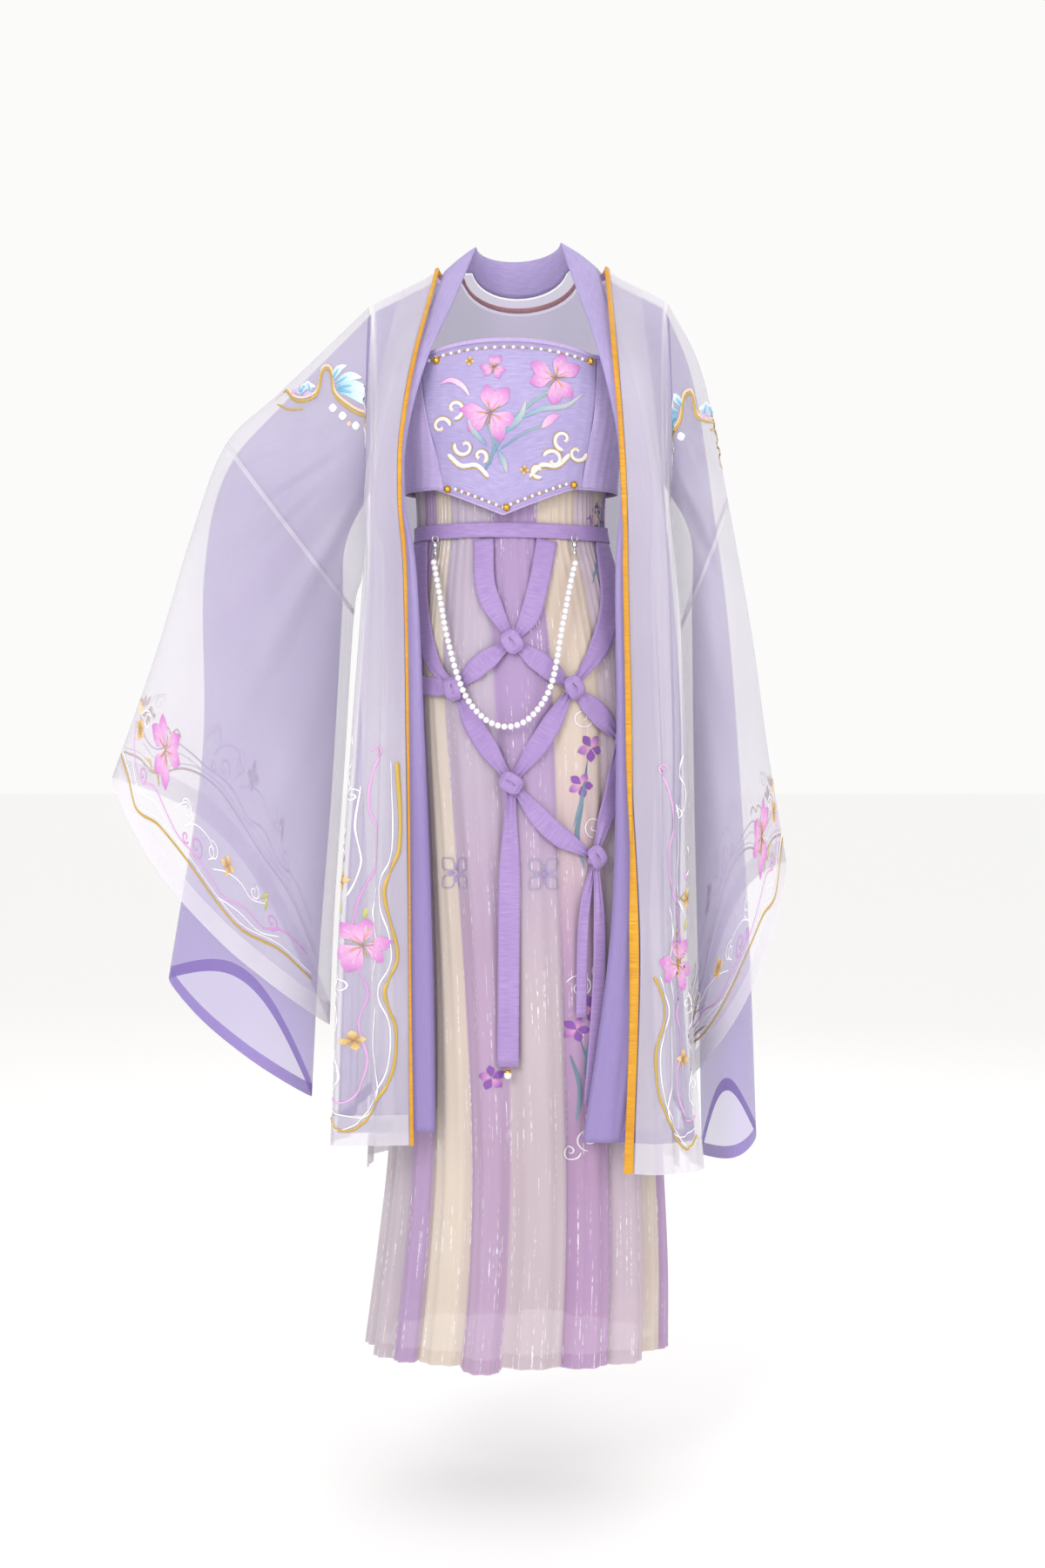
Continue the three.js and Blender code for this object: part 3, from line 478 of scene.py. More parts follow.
def skirt(pleat, drop, out=0):
    """The skirt: an ellipse at each drop, drawn in by the pleats, a sine to the power 0.8 in each, with fine
    gathers that fade below the hips and soft waves in each pleat that grow towards the hem."""
    pleat, drop = np.broadcast_arrays(np.asarray(pleat, float), np.asarray(drop, float))
    t = pleat - np.floor(pleat)
    depth = smooth(SKIRT["drop"], SKIRT["pleat"], drop)
    tuck = depth * (np.sin(np.pi * t) ** 0.8 - 1)
    gather = 1.5 * np.sin(pleat * 2 * np.pi * 5 + 0.5 * np.sin(drop / 90)) * (1 - ramp((drop - 330) / 380))
    wave = np.sin(pleat * 2 * np.pi * 3 + np.sin(drop / 260) + np.floor(pleat) * 1.7)
    soft = (1.1 * wave - 1.1) * ramp((drop - 350) / 400) + 0.9 * wave * ramp((drop - 900) / 400)
    sway = 2 * np.sin(np.floor(pleat) * 2.4 + drop / 330) * ramp((drop - 500) / 600)
    out = out + tuck + gather * 0.8 + soft + sway * np.sin(np.pi * t)
    x, y, z = oval(SKIRT, pleat_angle(np.mod(pleat, PLEATS), drop), drop, out)
    return x, y, z + 7 * ramp((drop - 1100) / 235) * (0.5 + 0.5 * np.sin(np.floor(pleat) * 2.4 + 1))


def front_angle(x, drop, outline=SKIRT, limit=0.985):
    """The angle round an outline of a place on its front, from its distance to the wearer's left."""
    middle, half = (smooth(outline["drop"], outline[column], drop) for column in ("middleX", "halfX"))
    reach = (x - middle) / half
    return 360 - np.degrees(np.arccos(np.clip(reach, -limit, limit)))


def skirt_front(x, drop, out=0):
    """The pleated skirt's surface at a distance to the wearer's left and a drop, moved out."""
    x, drop = np.broadcast_arrays(np.asarray(x, float), np.asarray(drop, float))
    fine = np.linspace(8, 18, 400)
    angle = front_angle(x, drop)
    share = ramp((drop - 380) / 900)
    top, hem = (np.interp(angle, np.interp(fine, np.arange(19), p), fine) for p in (PLEATS_TOP, PLEATS_HEM))
    return skirt(mix(top, hem, share), drop, out)


def over_skirt(x, drop, out=3):
    """The smooth outline over the skirt's front at a distance to the wearer's left and a drop."""
    x, drop = np.broadcast_arrays(np.asarray(x, float), np.asarray(drop, float))
    return oval(SKIRT, front_angle(x, drop), drop, out)


def bodice_top(angle):
    """Drop of the bodice's top edge: lowest at the sides and back, with a dip at the front corners."""
    wide = np.clip((angle - 268) / 48, -1, 1)
    return 112 + 16 * wide**2 + 18 * ramp((np.abs(angle - 268) - 50) / 90)


def bodice_bottom(angle):
    """Drop of the bodice's lower edge: level, with a blunt point in the middle of the front."""
    return 289 + 32 * np.clip(1 - np.abs(angle - 266) / 40, 0, 1) ** 1.15


def bodice(angle, v, out=0):
    """The bodice at an angle and a share v of the way from its top edge to its lower one."""
    return oval(BODICE, angle, mix(bodice_top(angle), bodice_bottom(angle), v), out)


# ------------------------------------------------------------------ meshes
def new_piece(name, points, faces, material, uv=None, colour=None, smooth_faces=True):
    """An object from points in mm and faces, with a UV map and a colour for each point."""
    mesh = bpy.data.meshes.new(name)
    faces = faces if isinstance(faces, list) else faces.tolist()
    mesh.from_pydata((np.asarray(points) * MM).tolist(), [], faces)
    loops = np.empty(len(mesh.loops), dtype=np.int32)
    mesh.loops.foreach_get("vertex_index", loops)
    if uv is not None:
        layer = mesh.uv_layers.new(name="cloth")
        layer.data.foreach_set("uv", np.asarray(uv)[loops].ravel())
    if colour is not None:
        rgba = np.c_[np.asarray(colour), np.ones(len(points))]
        mesh.color_attributes.new("dye", "FLOAT_COLOR", "POINT").data.foreach_set("color", rgba.ravel())
    mesh.materials.append(material)
    mesh.polygons.foreach_set("use_smooth", np.full(len(mesh.polygons), smooth_faces))
    thing = bpy.data.objects.new(name, mesh)
    bpy.context.collection.objects.link(thing)
    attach(thing, "root")
    return thing


def grid_faces(rows, columns, ring=False, start=0):
    """The quads of a grid of points, row by row; a ring joins its last column to its first."""
    r = np.arange(rows - 1)[:, None] * columns
    c = np.arange(columns if ring else columns - 1)[None, :]
    n = (c + 1) % columns
    quads = np.stack([r + c, r + columns + c, r + columns + n, r + n], -1)
    return quads.reshape(-1, 4) + start


def cloth(name, surface, us, vs, material, ring=False, wall=0, colour=None, flip=False):
    """A sheet of cloth over the grid of us by vs. Its UV map is the mean length along each way, in metres,
    and wall gives it a thickness in mm."""
    u, v = np.meshgrid(us, vs)
    points = np.stack(np.broadcast_arrays(*surface(u, v)), -1)
    along = np.r_[0, np.cumsum(np.linalg.norm(np.diff(points, axis=1), axis=2).mean(0))]
    down = np.r_[0, np.cumsum(np.linalg.norm(np.diff(points, axis=0), axis=2).mean(1))]
    uv = np.stack(np.meshgrid(along * MM, down * MM), -1).reshape(-1, 2)
    faces = grid_faces(*u.shape, ring)
    if flip:
        faces = faces[:, ::-1]
    dye = None if colour is None else colour(u, v).reshape(-1, 3)
    thing = new_piece(name, points.reshape(-1, 3), faces, material, uv, dye)
    if wall:
        thick = thing.modifiers.new("wall", "SOLIDIFY")
        thick.thickness, thick.offset, thick.use_rim = wall * MM, 0, True
    return thing


# ------------------------------------------------------------------ materials
def srgb(r, g, b):
    """A colour from 0 to 255 as linear light."""
    c = np.array([r, g, b]) / 255
    return tuple(np.where(c <= 0.04045, c / 12.92, ((c + 0.055) / 1.055) ** 2.4))


class Shading:
    """A new material: even values set on its shader's own sockets, and nodes that vary them."""

    def __init__(self, name, roughness=0.6, alpha=1.0, metallic=0.0, sheen=0.0, specular=0.5, coat=0.0):
        self.material = bpy.data.materials.new(name)
        self.material.use_nodes = True
        self.tree = self.material.node_tree
        self.shader = self.tree.nodes["Principled BSDF"]
        for socket, value in (
            ("Roughness", roughness), ("Alpha", alpha), ("Metallic", metallic),
            ("Sheen Weight", sheen), ("Specular IOR Level", specular), ("Coat Weight", coat),
        ):
            self.shader.inputs[socket].default_value = value

    def node(self, kind, inputs=(), **settings):
        """A node with its settings; each input is a value or another node's socket."""
        node = self.tree.nodes.new(f"ShaderNode{kind}")
        for setting, value in settings.items():
            setattr(node, setting, value)
        for socket, value in dict(inputs).items():
            if isinstance(value, bpy.types.NodeSocket):
                self.tree.links.new(value, node.inputs[socket])
            else:
                node.inputs[socket].default_value = value
        return node

    def vary(self, socket, value):
        """Feeds one of the shader's inputs."""
        self.tree.links.new(value, self.shader.inputs[socket])

    def place(self):
        """Where a point is on the object, in metres."""
        return self.node("TexCoord").outputs["Object"]

    def lengths(self):
        """Where a point is on the cloth's own map, in metres."""
        return self.node("UVMap", uv_map="cloth").outputs[0]

    def dye(self):
        """The mesh's own colour."""
        return self.node("VertexColor", layer_name="dye").outputs["Color"]

    def blend(self, share, first, second, how="MIX"):
        """A colour mixed from two, each a colour or a socket, by a share."""
        first, second = ((*c, 1) if isinstance(c, tuple) else c for c in (first, second))
        return self.node("Mix", {0: share, 6: first, 7: second}, data_type="RGBA", blend_type=how).outputs[2]

    def noise(self, where, scale, detail=2.0):
        """A noise's value on coordinates scaled by three numbers."""
        scaled = self.node("Mapping", {"Vector": where, "Scale": scale}).outputs["Vector"]
        return self.node("TexNoise", {"Vector": scaled, "Scale": 1, "Detail": detail}).outputs["Fac"]

    def stretch(self, value, low, high, to_low=0.0, to_high=1.0):
        """A value's range moved from low..high to another, and held there."""
        return self.node("MapRange", {0: value, 1: low, 2: high, 3: to_low, 4: to_high}).outputs[0]

    def product(self, first, second):
        """One value times another."""
        return self.node("Math", {0: first, 1: second}, operation="MULTIPLY").outputs[0]

    def relief(self, height, strength, distance):
        """A bump from a height."""
        bump = self.node("Bump", {"Height": height, "Strength": strength, "Distance": distance})
        self.vary("Normal", bump.outputs[0])

    def weave(self, pitch, strength):
        """Warp and weft as two crossed waves on the cloth's own map, as a bump; pitch is in metres."""
        where = self.lengths()
        inputs = {"Vector": where, "Scale": 0.314 / pitch, "Distortion": 0.4}
        warp, weft = (self.node("TexWave", inputs, bands_direction=way).outputs["Fac"] for way in "XY")
        self.relief(self.product(warp, weft), strength, 0.0004)
        return where


def sheer(name, light, dark, alpha, roughness, pitch):
    """A sheer cloth: an even alpha, a colour that drifts between two over hand-sized patches and with
    flecks along the thread, and the weave as a bump."""
    cloth = Shading(name, roughness, alpha, sheen=0.3, specular=0.3)
    where = cloth.weave(pitch, 0.35)
    base = cloth.blend(cloth.stretch(cloth.noise(cloth.place(), (7, 7, 3)), 0.35, 0.65), light, dark)
    fleck = cloth.stretch(cloth.noise(where, (900, 260, 1)), 0.3, 0.7, 0.0, 0.35)
    cloth.vary("Base Color", cloth.blend(fleck, base, dark))
    return cloth.material


def satin(name, light, dark, roughness, low=None):
    """A close satin: fine slubs along the weft and a soft gloss that they break up. low is a colour of painted
    shade that it deepens to between 0.25 m and 0.7 m down, so the cloth is painted darker towards the bottom."""
    cloth = Shading(name, roughness, sheen=0.2, specular=0.45)
    slub = cloth.stretch(cloth.noise(cloth.weave(0.0011, 0.3), (60, 700, 1), 3), 0.32, 0.68)
    place = cloth.place()
    drift = cloth.stretch(cloth.noise(place, (14, 14, 14)), 0.35, 0.65, 0, 0.5)
    base = cloth.blend(drift, cloth.blend(slub, light, dark), dark)
    # painted shade: with low given, the colour darkens towards it with the point's height, lower down
    if low:
        up = cloth.node("SeparateXYZ", {0: place}).outputs[2]
        base = cloth.blend(cloth.stretch(up, -0.25, -0.7, 0, 0.85), base, low)
    cloth.vary("Base Color", base)
    cloth.vary("Roughness", cloth.stretch(slub, 0, 1, roughness - 0.06, roughness + 0.1))
    return cloth.material


def lurex(name, alpha):
    """The skirt's cloth: its dye from the mesh, with broken silver threads woven down its length."""
    cloth = Shading(name, 0.55, alpha, sheen=0.25, specular=0.35)
    where = cloth.weave(0.0009, 0.3)
    drift = cloth.stretch(cloth.noise(cloth.place(), (9, 9, 4)), 0.35, 0.65, 0, 0.16)
    base = cloth.blend(drift, cloth.dye(), srgb(150, 124, 138))
    thread = cloth.stretch(cloth.noise(where, (620, 7, 1), 1), 0.63, 0.69)
    broken = cloth.stretch(cloth.noise(where, (240, 110, 1), 2), 0.46, 0.62)
    glint = cloth.product(thread, broken)
    cloth.vary("Base Color", cloth.blend(glint, base, srgb(246, 244, 250)))
    cloth.vary("Roughness", cloth.stretch(glint, 0, 1, 0.55, 0.25))
    cloth.vary("Metallic", cloth.stretch(glint, 0, 1, 0, 0.35))
    return cloth.material


def thread_work(name, metallic=0.0, roughness=0.45):
    """Embroidery: its colour from the mesh, with the lie of the stitches as fine ridges along the map."""
    thread = Shading(name, roughness, metallic=metallic, sheen=0.3)
    ridges = thread.noise(thread.lengths(), (1500, 160, 1), 2)
    shade = thread.blend(thread.stretch(ridges, 0.35, 0.65), (0.72, 0.72, 0.74), (1.0, 1.0, 1.0))
    thread.vary("Base Color", thread.blend(0.55, thread.dye(), shade, "MULTIPLY"))
    thread.relief(ridges, 0.6, 0.0005)
    return thread.material


def polished(name, colour, roughness, metallic, coat=0.0):
    """A hard bright finish whose roughness varies a little, as handled metal or pearl does."""
    hard = Shading(name, roughness, metallic=metallic, coat=coat)
    wear = hard.stretch(hard.noise(hard.place(), (400, 400, 400)), 0.3, 0.7)
    hard.vary("Base Color", hard.blend(wear, colour, tuple(c * 0.86 for c in colour)))
    hard.vary("Roughness", hard.stretch(wear, 0, 1, roughness * 0.7, roughness * 1.4))
    return hard.material


ORGANZA = sheer("white_organza", srgb(233, 228, 237), srgb(217, 210, 224), 0.36, 0.5, 0.0009)
ORGANZA_DOUBLE = sheer("white_organza_doubled", srgb(237, 233, 240), srgb(224, 218, 229), 0.5, 0.5, 0.0009)
CHIFFON = sheer("periwinkle_chiffon", srgb(154, 129, 208), srgb(136, 110, 194), 0.42, 0.7, 0.0007)
CHIFFON_DOUBLE = sheer(
    "periwinkle_chiffon_doubled", srgb(146, 120, 198), srgb(128, 102, 184), 0.76, 0.7, 0.0007
)
# the collar's low colour is painted shade: the band is painted darker towards the bottom
COLLAR_CLOTH = satin("collar_chiffon", srgb(182, 167, 212), srgb(162, 146, 198), 0.6, low=srgb(138, 120, 176))
BODICE_SATIN = satin("lilac_satin", srgb(182, 170, 212), srgb(160, 147, 196), 0.42)
BODICE_SIDE_SATIN = satin("orchid_satin", srgb(202, 184, 228), srgb(182, 163, 212), 0.42)
BINDING_SATIN = satin("binding_satin", srgb(198, 176, 220), srgb(180, 156, 206), 0.42)
RIBBON_CLOTH = satin("lavender_ribbon", srgb(174, 147, 199), srgb(154, 125, 183), 0.6)
SKIRT_CLOTH = lurex("skirt_georgette", 0.93)
LINING = satin("skirt_lining", srgb(226, 216, 230), srgb(208, 196, 216), 0.7)
GOLD_SATIN = satin("gold_piping_satin", srgb(232, 178, 22), srgb(196, 128, 8), 0.28)
THREAD = thread_work("embroidery_thread")
GOLD_THREAD = thread_work("gold_thread", 0.55, 0.4)
PEARL = polished("pearl", srgb(243, 240, 244), 0.22, 0.0, 0.6)
SILVER = polished("silver_metal", srgb(205, 205, 210), 0.22, 1.0)
GOLD = polished("gold_metal", srgb(226, 178, 66), 0.25, 1.0)


# ------------------------------------------------------------------ the two robes
def edge_of(robe, side, drop):
    """How far across a front the robe's cloth starts: at the gold piping, or at the collar band."""
    return gold_at(side, drop) if robe == "outer" else plan(side, "band", drop)


def spread_across(side, drop):
    """Millimetres for one unit across a front, near its edge."""
    return 2 * (plan(side, "foldX", drop) - plan(side, "edgeX", drop))


def cuff_grid(side, robe):
    """Along a cuff: turns, the length from the top fold at each with depth counted by half, and the last
    section's length at each."""
    turns = np.linspace(0, 2, 401)
    ends = np.stack(sleeve(side, robe, 5.0, turns), -1)
    before = np.stack(sleeve(side, robe, 4.6, turns), -1)
    along = np.r_[0, np.cumsum(np.linalg.norm(np.diff(ends, axis=0) * (1, 0.5, 1), axis=1))]
    return turns, along, np.linalg.norm(ends - before, axis=1) / 0.4


def cuff_band(side, robe, width):
    """A surface round a cuff: v is the share of a width in mm, measured up from the cuff's edge."""
    turns, _, length = cuff_grid(side, robe)

    def surface(u, v, lift=0.8):
        return sleeve(side, robe, 5 - v * width / np.interp(u, turns, length), u, lift)

    return surface


ROBE_CLOTH = {"outer": (ORGANZA, ORGANZA_DOUBLE), "inner": (CHIFFON, CHIFFON_DOUBLE)}
BACK_COLUMNS, FRONT_COLUMNS = np.linspace(0.004, 0.996, 150), np.linspace(0, 1, 64)
FACING = 42  # width of the doubled strip behind the piping
ROUND = np.linspace(0, 2, 121)[:-1]  # once round a sleeve


def keep(name, thing, *solids):
    """Hides the solids that a piece stands in for: those named, or else the one of the piece's own name."""
    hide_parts(*(solids or (name,)))


for robe, (single, double) in ROBE_CLOTH.items():
    out, hems, fall = ROBES[robe]["out"], ROBES[robe]["hems"], ROBES[robe]["fall"]
    _, nape = neckline(edge_of(robe, "right", np.zeros(1)), edge_of(robe, "left", np.zeros(1)), fall)

    def back_cloth(u, v, out=out, nape=nape, lift=0):
        """A back from the shoulder seam or the neckline, level from the chest down."""
        return back(u, v + nape(u) * (1 - ramp(v / 245)), out, lift)

    rows = np.linspace(2, hems["back"], 84)
    keep(f"{robe}_back", cloth(f"{robe}_back", back_cloth, BACK_COLUMNS, rows, single))
    hem = np.linspace(hems["back"] - ROBES[robe]["hem"], hems["back"], 4)
    cloth(f"{robe}_back_hem", lambda u, v, f=back_cloth: f(u, v, lift=0.8), BACK_COLUMNS, hem, double)
    for side in SIDES:
        def front_cloth(u, v, side=side, robe=robe, out=out, lift=0):
            """A front from its edge to the side seam."""
            return front(side, mix(edge_of(robe, side, v), 0.985, u), v, out, lift)

        name = f"{robe}_front_{side}"
        rows = np.linspace(2, hems[side], 84)
        keep(name, cloth(name, front_cloth, FRONT_COLUMNS, rows, single))
        hem = np.linspace(hems[side] - ROBES[robe]["hem"], hems[side], 4)
        cloth(f"{name}_hem", lambda u, v, f=front_cloth: f(u, v, lift=0.8), FRONT_COLUMNS, hem, double)
        if robe == "outer":
            def facing(u, v, side=side):
                """The doubled strip behind the piping, just inside the front."""
                start = gold_at(side, v)
                return front(side, start + u * FACING / spread_across(side, v), v, 0, -0.8)

            cloth(f"{name}_facing", facing, np.linspace(0, 1, 12), rows, single)
        name = f"{robe}_sleeve_{side}"
        tube = lambda u, v, side=side, robe=robe: sleeve(side, robe, v, u)
        lengths = [f"outer_sleeve_upper_{side}", f"outer_sleeve_lower_{side}", f"outer_cuff_{side}"]
        thing = cloth(name, tube, ROUND, np.linspace(0.03, 5, 76), single, ring=True)
        keep(name, thing, *(lengths if robe == "outer" else []))
        band = cuff_band(side, robe, ROBES[robe]["cuff"])
        cloth(f"{robe}_cuff_{side}_hem", band, ROUND, np.linspace(0, 1, 4), double, ring=True)
        if robe == "outer":
            tape = lambda u, v, side=side: sleeve(side, "outer", 2 + v * 0.03, u, 1.0)
            cloth(f"sleeve_seam_{side}", tape, ROUND, [-1, 0, 1], ORGANZA_DOUBLE, ring=True)


def edging_columns(robe, count):
    """Places along an edging from one front's hem to the other's, count on each front and 30 at the neck."""
    hems = ROBES[robe]["hems"]
    down = np.linspace(-hems["right"], -2, count), np.linspace(NECK + 2, NECK + hems["left"], count)
    return np.r_[down[0], np.linspace(4, NECK - 4, 30), down[1]]


def collar(u, v):
    """The collar band from the edge of the neck and fronts to the inner robe's cloth."""
    return edging(lambda side, drop: plan(side, "band", drop) * v, ROBES["inner"]["fall"] * v, u, -EASE)


columns = edging_columns("inner", 130)
thing = cloth("inner_collar", collar, columns, np.linspace(0, 1, 9), COLLAR_CLOTH, wall=1.2)
keep("inner_collar", thing, "inner_collar_right", "inner_collar_left")


def piping(u, v):
    """A flattened cord beside the outer robe's edge: an ellipse 2.4 mm high, wider down the left front."""
    wide = 2.4 + 0.7 * ramp(u / NECK) + 1.1 * ramp((u - NECK - 450) / 200)
    aside = wide * np.cos(v) - wide - 1.2

    def place(side, drop):
        return gold_at(side, drop) + aside / spread_across(side, drop)

    return edging(place, ROBES["outer"]["fall"] + aside, u, 0, 1.4 * np.sin(v))


columns = edging_columns("outer", 150)
thing = cloth("outer_piping", lambda u, v: piping(v, u), circle(10), columns, GOLD_SATIN, ring=True)
keep("outer_piping", thing, "outer_piping_right", "outer_piping_left")

# ------------------------------------------------------------------ the skirt
DYES = np.array([
    (196, 168, 214), (226, 214, 212), (206, 196, 214), (184, 156, 208), (222, 208, 203), (205, 195, 212),
    (188, 160, 208), (224, 211, 206), (206, 196, 214), (208, 198, 214), (184, 156, 208), (224, 210, 205),
    (198, 184, 214), (180, 152, 210), (228, 210, 202), (210, 192, 216), (226, 212, 206), (192, 164, 212),
], float)
HEM_DYES = np.array([
    (190, 160, 210), (224, 212, 210), (208, 196, 214), (186, 158, 208), (220, 206, 203), (205, 195, 212),
    (190, 164, 208), (222, 208, 206), (206, 196, 214), (204, 192, 212), (184, 156, 208), (222, 208, 203),
    (190, 162, 204), (206, 190, 208), (186, 152, 202), (208, 190, 214), (220, 206, 204), (190, 160, 210),
], float)


def skirt_dye(pleat, drop):
    """Each pleat's dye, bleeding into the next over a tenth of it and from its waist colour to its hem's."""
    pleat = np.mod(pleat, PLEATS)
    whole = np.floor(pleat).astype(int)
    after = (whole + 1) % PLEATS
    bleed = ramp((pleat - whole - 0.93) / 0.14)[..., None] + 0 * DYES[whole]
    share = ramp((drop - 520) / 420)[..., None]
    tint = mix(mix(DYES[whole], DYES[after], bleed), mix(HEM_DYES[whole], HEM_DYES[after], bleed), share)
    return (tint * (0.955, 0.95, 0.905) / 255) ** 2.2


WAIST, SKIRT_HEM = 262, 1335  # drops of the skirt's two edges
columns = np.arange(PLEATS * 16) / 16
rows = np.linspace(WAIST, SKIRT_HEM, 100)
thing = cloth("skirt", skirt, columns, rows, SKIRT_CLOTH, ring=True, colour=skirt_dye)
keep("skirt", thing, *[f"skirt_gore_{n}" for n in range(1, 10)])
hem, rows = lambda u, v: skirt(u, v, -1.2), np.linspace(SKIRT_HEM - 17, SKIRT_HEM - 1, 3)
cloth("skirt_hem", hem, columns, rows, SKIRT_CLOTH, ring=True, colour=skirt_dye)
lining = lambda u, v: oval(SKIRT, u, v, -smooth(SKIRT["drop"], SKIRT["pleat"], v) - 4 + 1.5 * np.sin(u / 4))
rows = np.linspace(WAIST, WAIST + 1000, 40)
cloth("skirt_lining", lining, np.arange(0, 360, 3), rows, LINING, ring=True)
waist, rows = lambda u, v: oval(SKIRT, u, v, 0), np.linspace(WAIST - 22, WAIST + 2, 4)
thing = cloth("skirt_waistband", waist, np.arange(0, 360, 4), rows, LINING, ring=True, wall=1.2)
keep("skirt_waistband", thing)

# ------------------------------------------------------------------ the bodice
def bodice_piece(right_top, right_low, left_top, left_low):
    """A bodice piece between two seams, whose angles go from the top edge to the lower one. Low creases run
    across it, deeper by the seams."""
    def surface(u, v):
        angle = mix(mix(right_top, right_low, v), mix(left_top, left_low, v), u)
        crease = 0.5 * np.sin(v * 17 + u * 3) * (1 - np.sin(np.pi * u)) + 0.3 * np.sin(angle * 0.9 + v * 9)
        return bodice(angle, mix(0.03, 1, v), crease)

    return surface


for name, seams, material in (
    ("bodice_front", (218.1, 232.1, 319.9, 310.9), BODICE_SATIN),
    ("bodice_side_right", (172, 172, 217.9, 231.9), BODICE_SIDE_SATIN),
    ("bodice_side_left", (320.1, 311.1, 368, 368), BODICE_SIDE_SATIN),
    ("bodice_back", (368.2, 368.2, 531.8, 531.8), BODICE_SIDE_SATIN),
):
    columns, rows = np.linspace(0, 1, 49), np.linspace(0, 1, 32)
    keep(name, cloth(name, bodice_piece(*seams), columns, rows, material, wall=1.2))


def wrapped(angle):
    """An angle from 88 to 448, so that the front's formulas hold all the way round."""
    return np.where(angle < 88, angle + 360, angle)


def rounded(run, wide, high):
    """A cord's surface from run(u, aside, out): an ellipse of half width wide and half height high."""
    return lambda u, v: run(v, wide * np.cos(u), high * np.sin(u))


sections = circle(10)
binding = rounded(lambda u, aside, out: oval(BODICE, u, bodice_top(wrapped(u)) + 2.6 + aside, out), 2.7, 1.5)
thing = cloth("bodice_binding", binding, sections, np.linspace(0, 360, 181), BINDING_SATIN, ring=True)
keep("bodice_binding", thing)
lower = rounded(lambda u, aside, out: bodice(u, 0.995 + aside / 180, out + 0.3), 1.3, 0.8)
cloth("bodice_lower_cord", lower, sections, np.linspace(172, 368, 140), BINDING_SATIN, ring=True)
for name, seam in (("right", (218, 232)), ("left", (320, 311))):
    def cord(u, aside, out, seam=seam):
        """A cord's middle down a seam of the bodice."""
        return bodice(mix(*seam, u) + aside / 2.4, mix(0.04, 0.98, u), out + 0.8)

    line, rows = rounded(cord, 0.9, 0.6), np.linspace(0, 1, 40)
    cloth(f"bodice_seam_{name}", line, sections, rows, BODICE_SIDE_SATIN, ring=True)

# ------------------------------------------------------------------ the belt and its net
def belt(u, v):
    """The belt: a flat band over the skirt with shallow creases along it."""
    crease = 0.5 * np.sin(v * 2.4 + u / 19) + 0.35 * np.sin(u / 5 + v)
    return oval(SKIRT, u, 338 + v * 9 + 1.1 * np.sin(u / 23), 3.2 + crease)


ACROSS = np.linspace(-1, 1, 9)
keep("belt", cloth("belt", belt, np.arange(0, 360, 2), ACROSS, RIBBON_CLOTH, ring=True, wall=1.1))


def ribbon(path, width, out, ends):
    """A ribbon on the skirt along points of x and drop: a curve through them with the width across it,
    drawn in to under half where it enters a knot, and creased lengthwise there."""
    path = np.array(path, float)
    marks = np.linspace(0, 1, len(path))

    def surface(u, v):
        at = [[smooth(marks, path[:, k], v + e) for k in (0, 1)] for e in (-0.01, 0, 0.01)]
        dx, dd = at[2][0] - at[0][0], at[2][1] - at[0][1]
        first, last = ends[0] * (1 - ramp(v * 2.6)), ends[1] * (1 - ramp((1 - v) * 2.6))
        aside = u * width * (1 - 0.6 * (first + last)) / 2 / np.hypot(dx, dd)
        x, drop = at[1][0] + dd * aside, at[1][1] - dx * aside
        crease = (first + last) * 1.8 * np.cos(u * 5.5) + 0.5 * np.sin(u * 2.2 + v * 9)
        return oval(SKIRT, front_angle(x, drop), drop, out + crease)

    return surface


KNOTS = [(-12, 471), (-77, 526), (57, 525), (-13, 637), (113, 587), (83, 726)]
WAY = 348.2  # drop of the belt's lower edge
# each ribbon: its stops, a knot by number or a point of x and drop; its width over 24 mm; its length in metres
NET = {
    "net_centre_right": ([(-46, WAY), (-42, 410), 1], 1, 0.125),
    "net_centre_left": ([(28, WAY + 1), (20, 395), (8, 440), 1], 1, 0.125),
    "net_side_right": ([(-121, WAY), (-121, 419), (-106, 492), 2], 0.8, 0.28),
    "net_side_left": ([(98, WAY), (103, 419), (90, 475), 3], 1, 0.27),
    "net_knot_1_2": ([1, (-48, 497), 2], 1, 0.085),
    "net_knot_1_3": ([1, (24, 498), 3], 1, 0.085),
    "net_hip_right": ([2, (-103, 524), (-126, 520)], 0.9, 0.06),
    "net_knot_2_4": ([2, (-50, 580), 4], 1, 0.125),
    "net_knot_3_4": ([3, (26, 580), 4], 1, 0.125),
    "net_knot_3_5": ([3, (87, 554), 5], 1, 0.09),
    "net_knot_4_6": ([4, (33, 692), 6], 1, 0.13),
    "net_knot_5_6": ([5, (104, 655), 6], 0.8, 0.16),
    "net_tail_middle": ([4, (-15, 740), (-16, 850), (-17, 972)], 1.05, 0.33),
    "net_tail_rear": ([6, (71, 800), (68, 915)], 0.5, 0.21),
    "net_tail_front": ([6, (88, 810), (86, 900), (77, 1019)], 0.6, 0.33),
}
for name, (stops, scale, _) in NET.items():
    knotted = [isinstance(stops[k], int) for k in (0, -1)]
    path = [np.array(KNOTS[s - 1] if isinstance(s, int) else s, float) for s in stops]
    for end, beside, tied in ((0, 1, knotted[0]), (-1, -2, knotted[1])):
        if tied:
            way = path[beside] - path[end]
            path[end] = path[end] + way * 5 / np.hypot(*way)
    strip = ribbon(path, 24 * scale, 6.4 if name == "net_tail_front" else 3.2, knotted)
    keep(name, cloth(name, strip, ACROSS, np.linspace(0, 1, 29), RIBBON_CLOTH, wall=1.1))


def ball(u, v):
    """A ball of radius 1: u goes round and v from the bottom, -pi/2, to the top."""
    return np.cos(u) * np.cos(v), np.sin(u) * np.cos(v), np.sin(v) + 0 * u


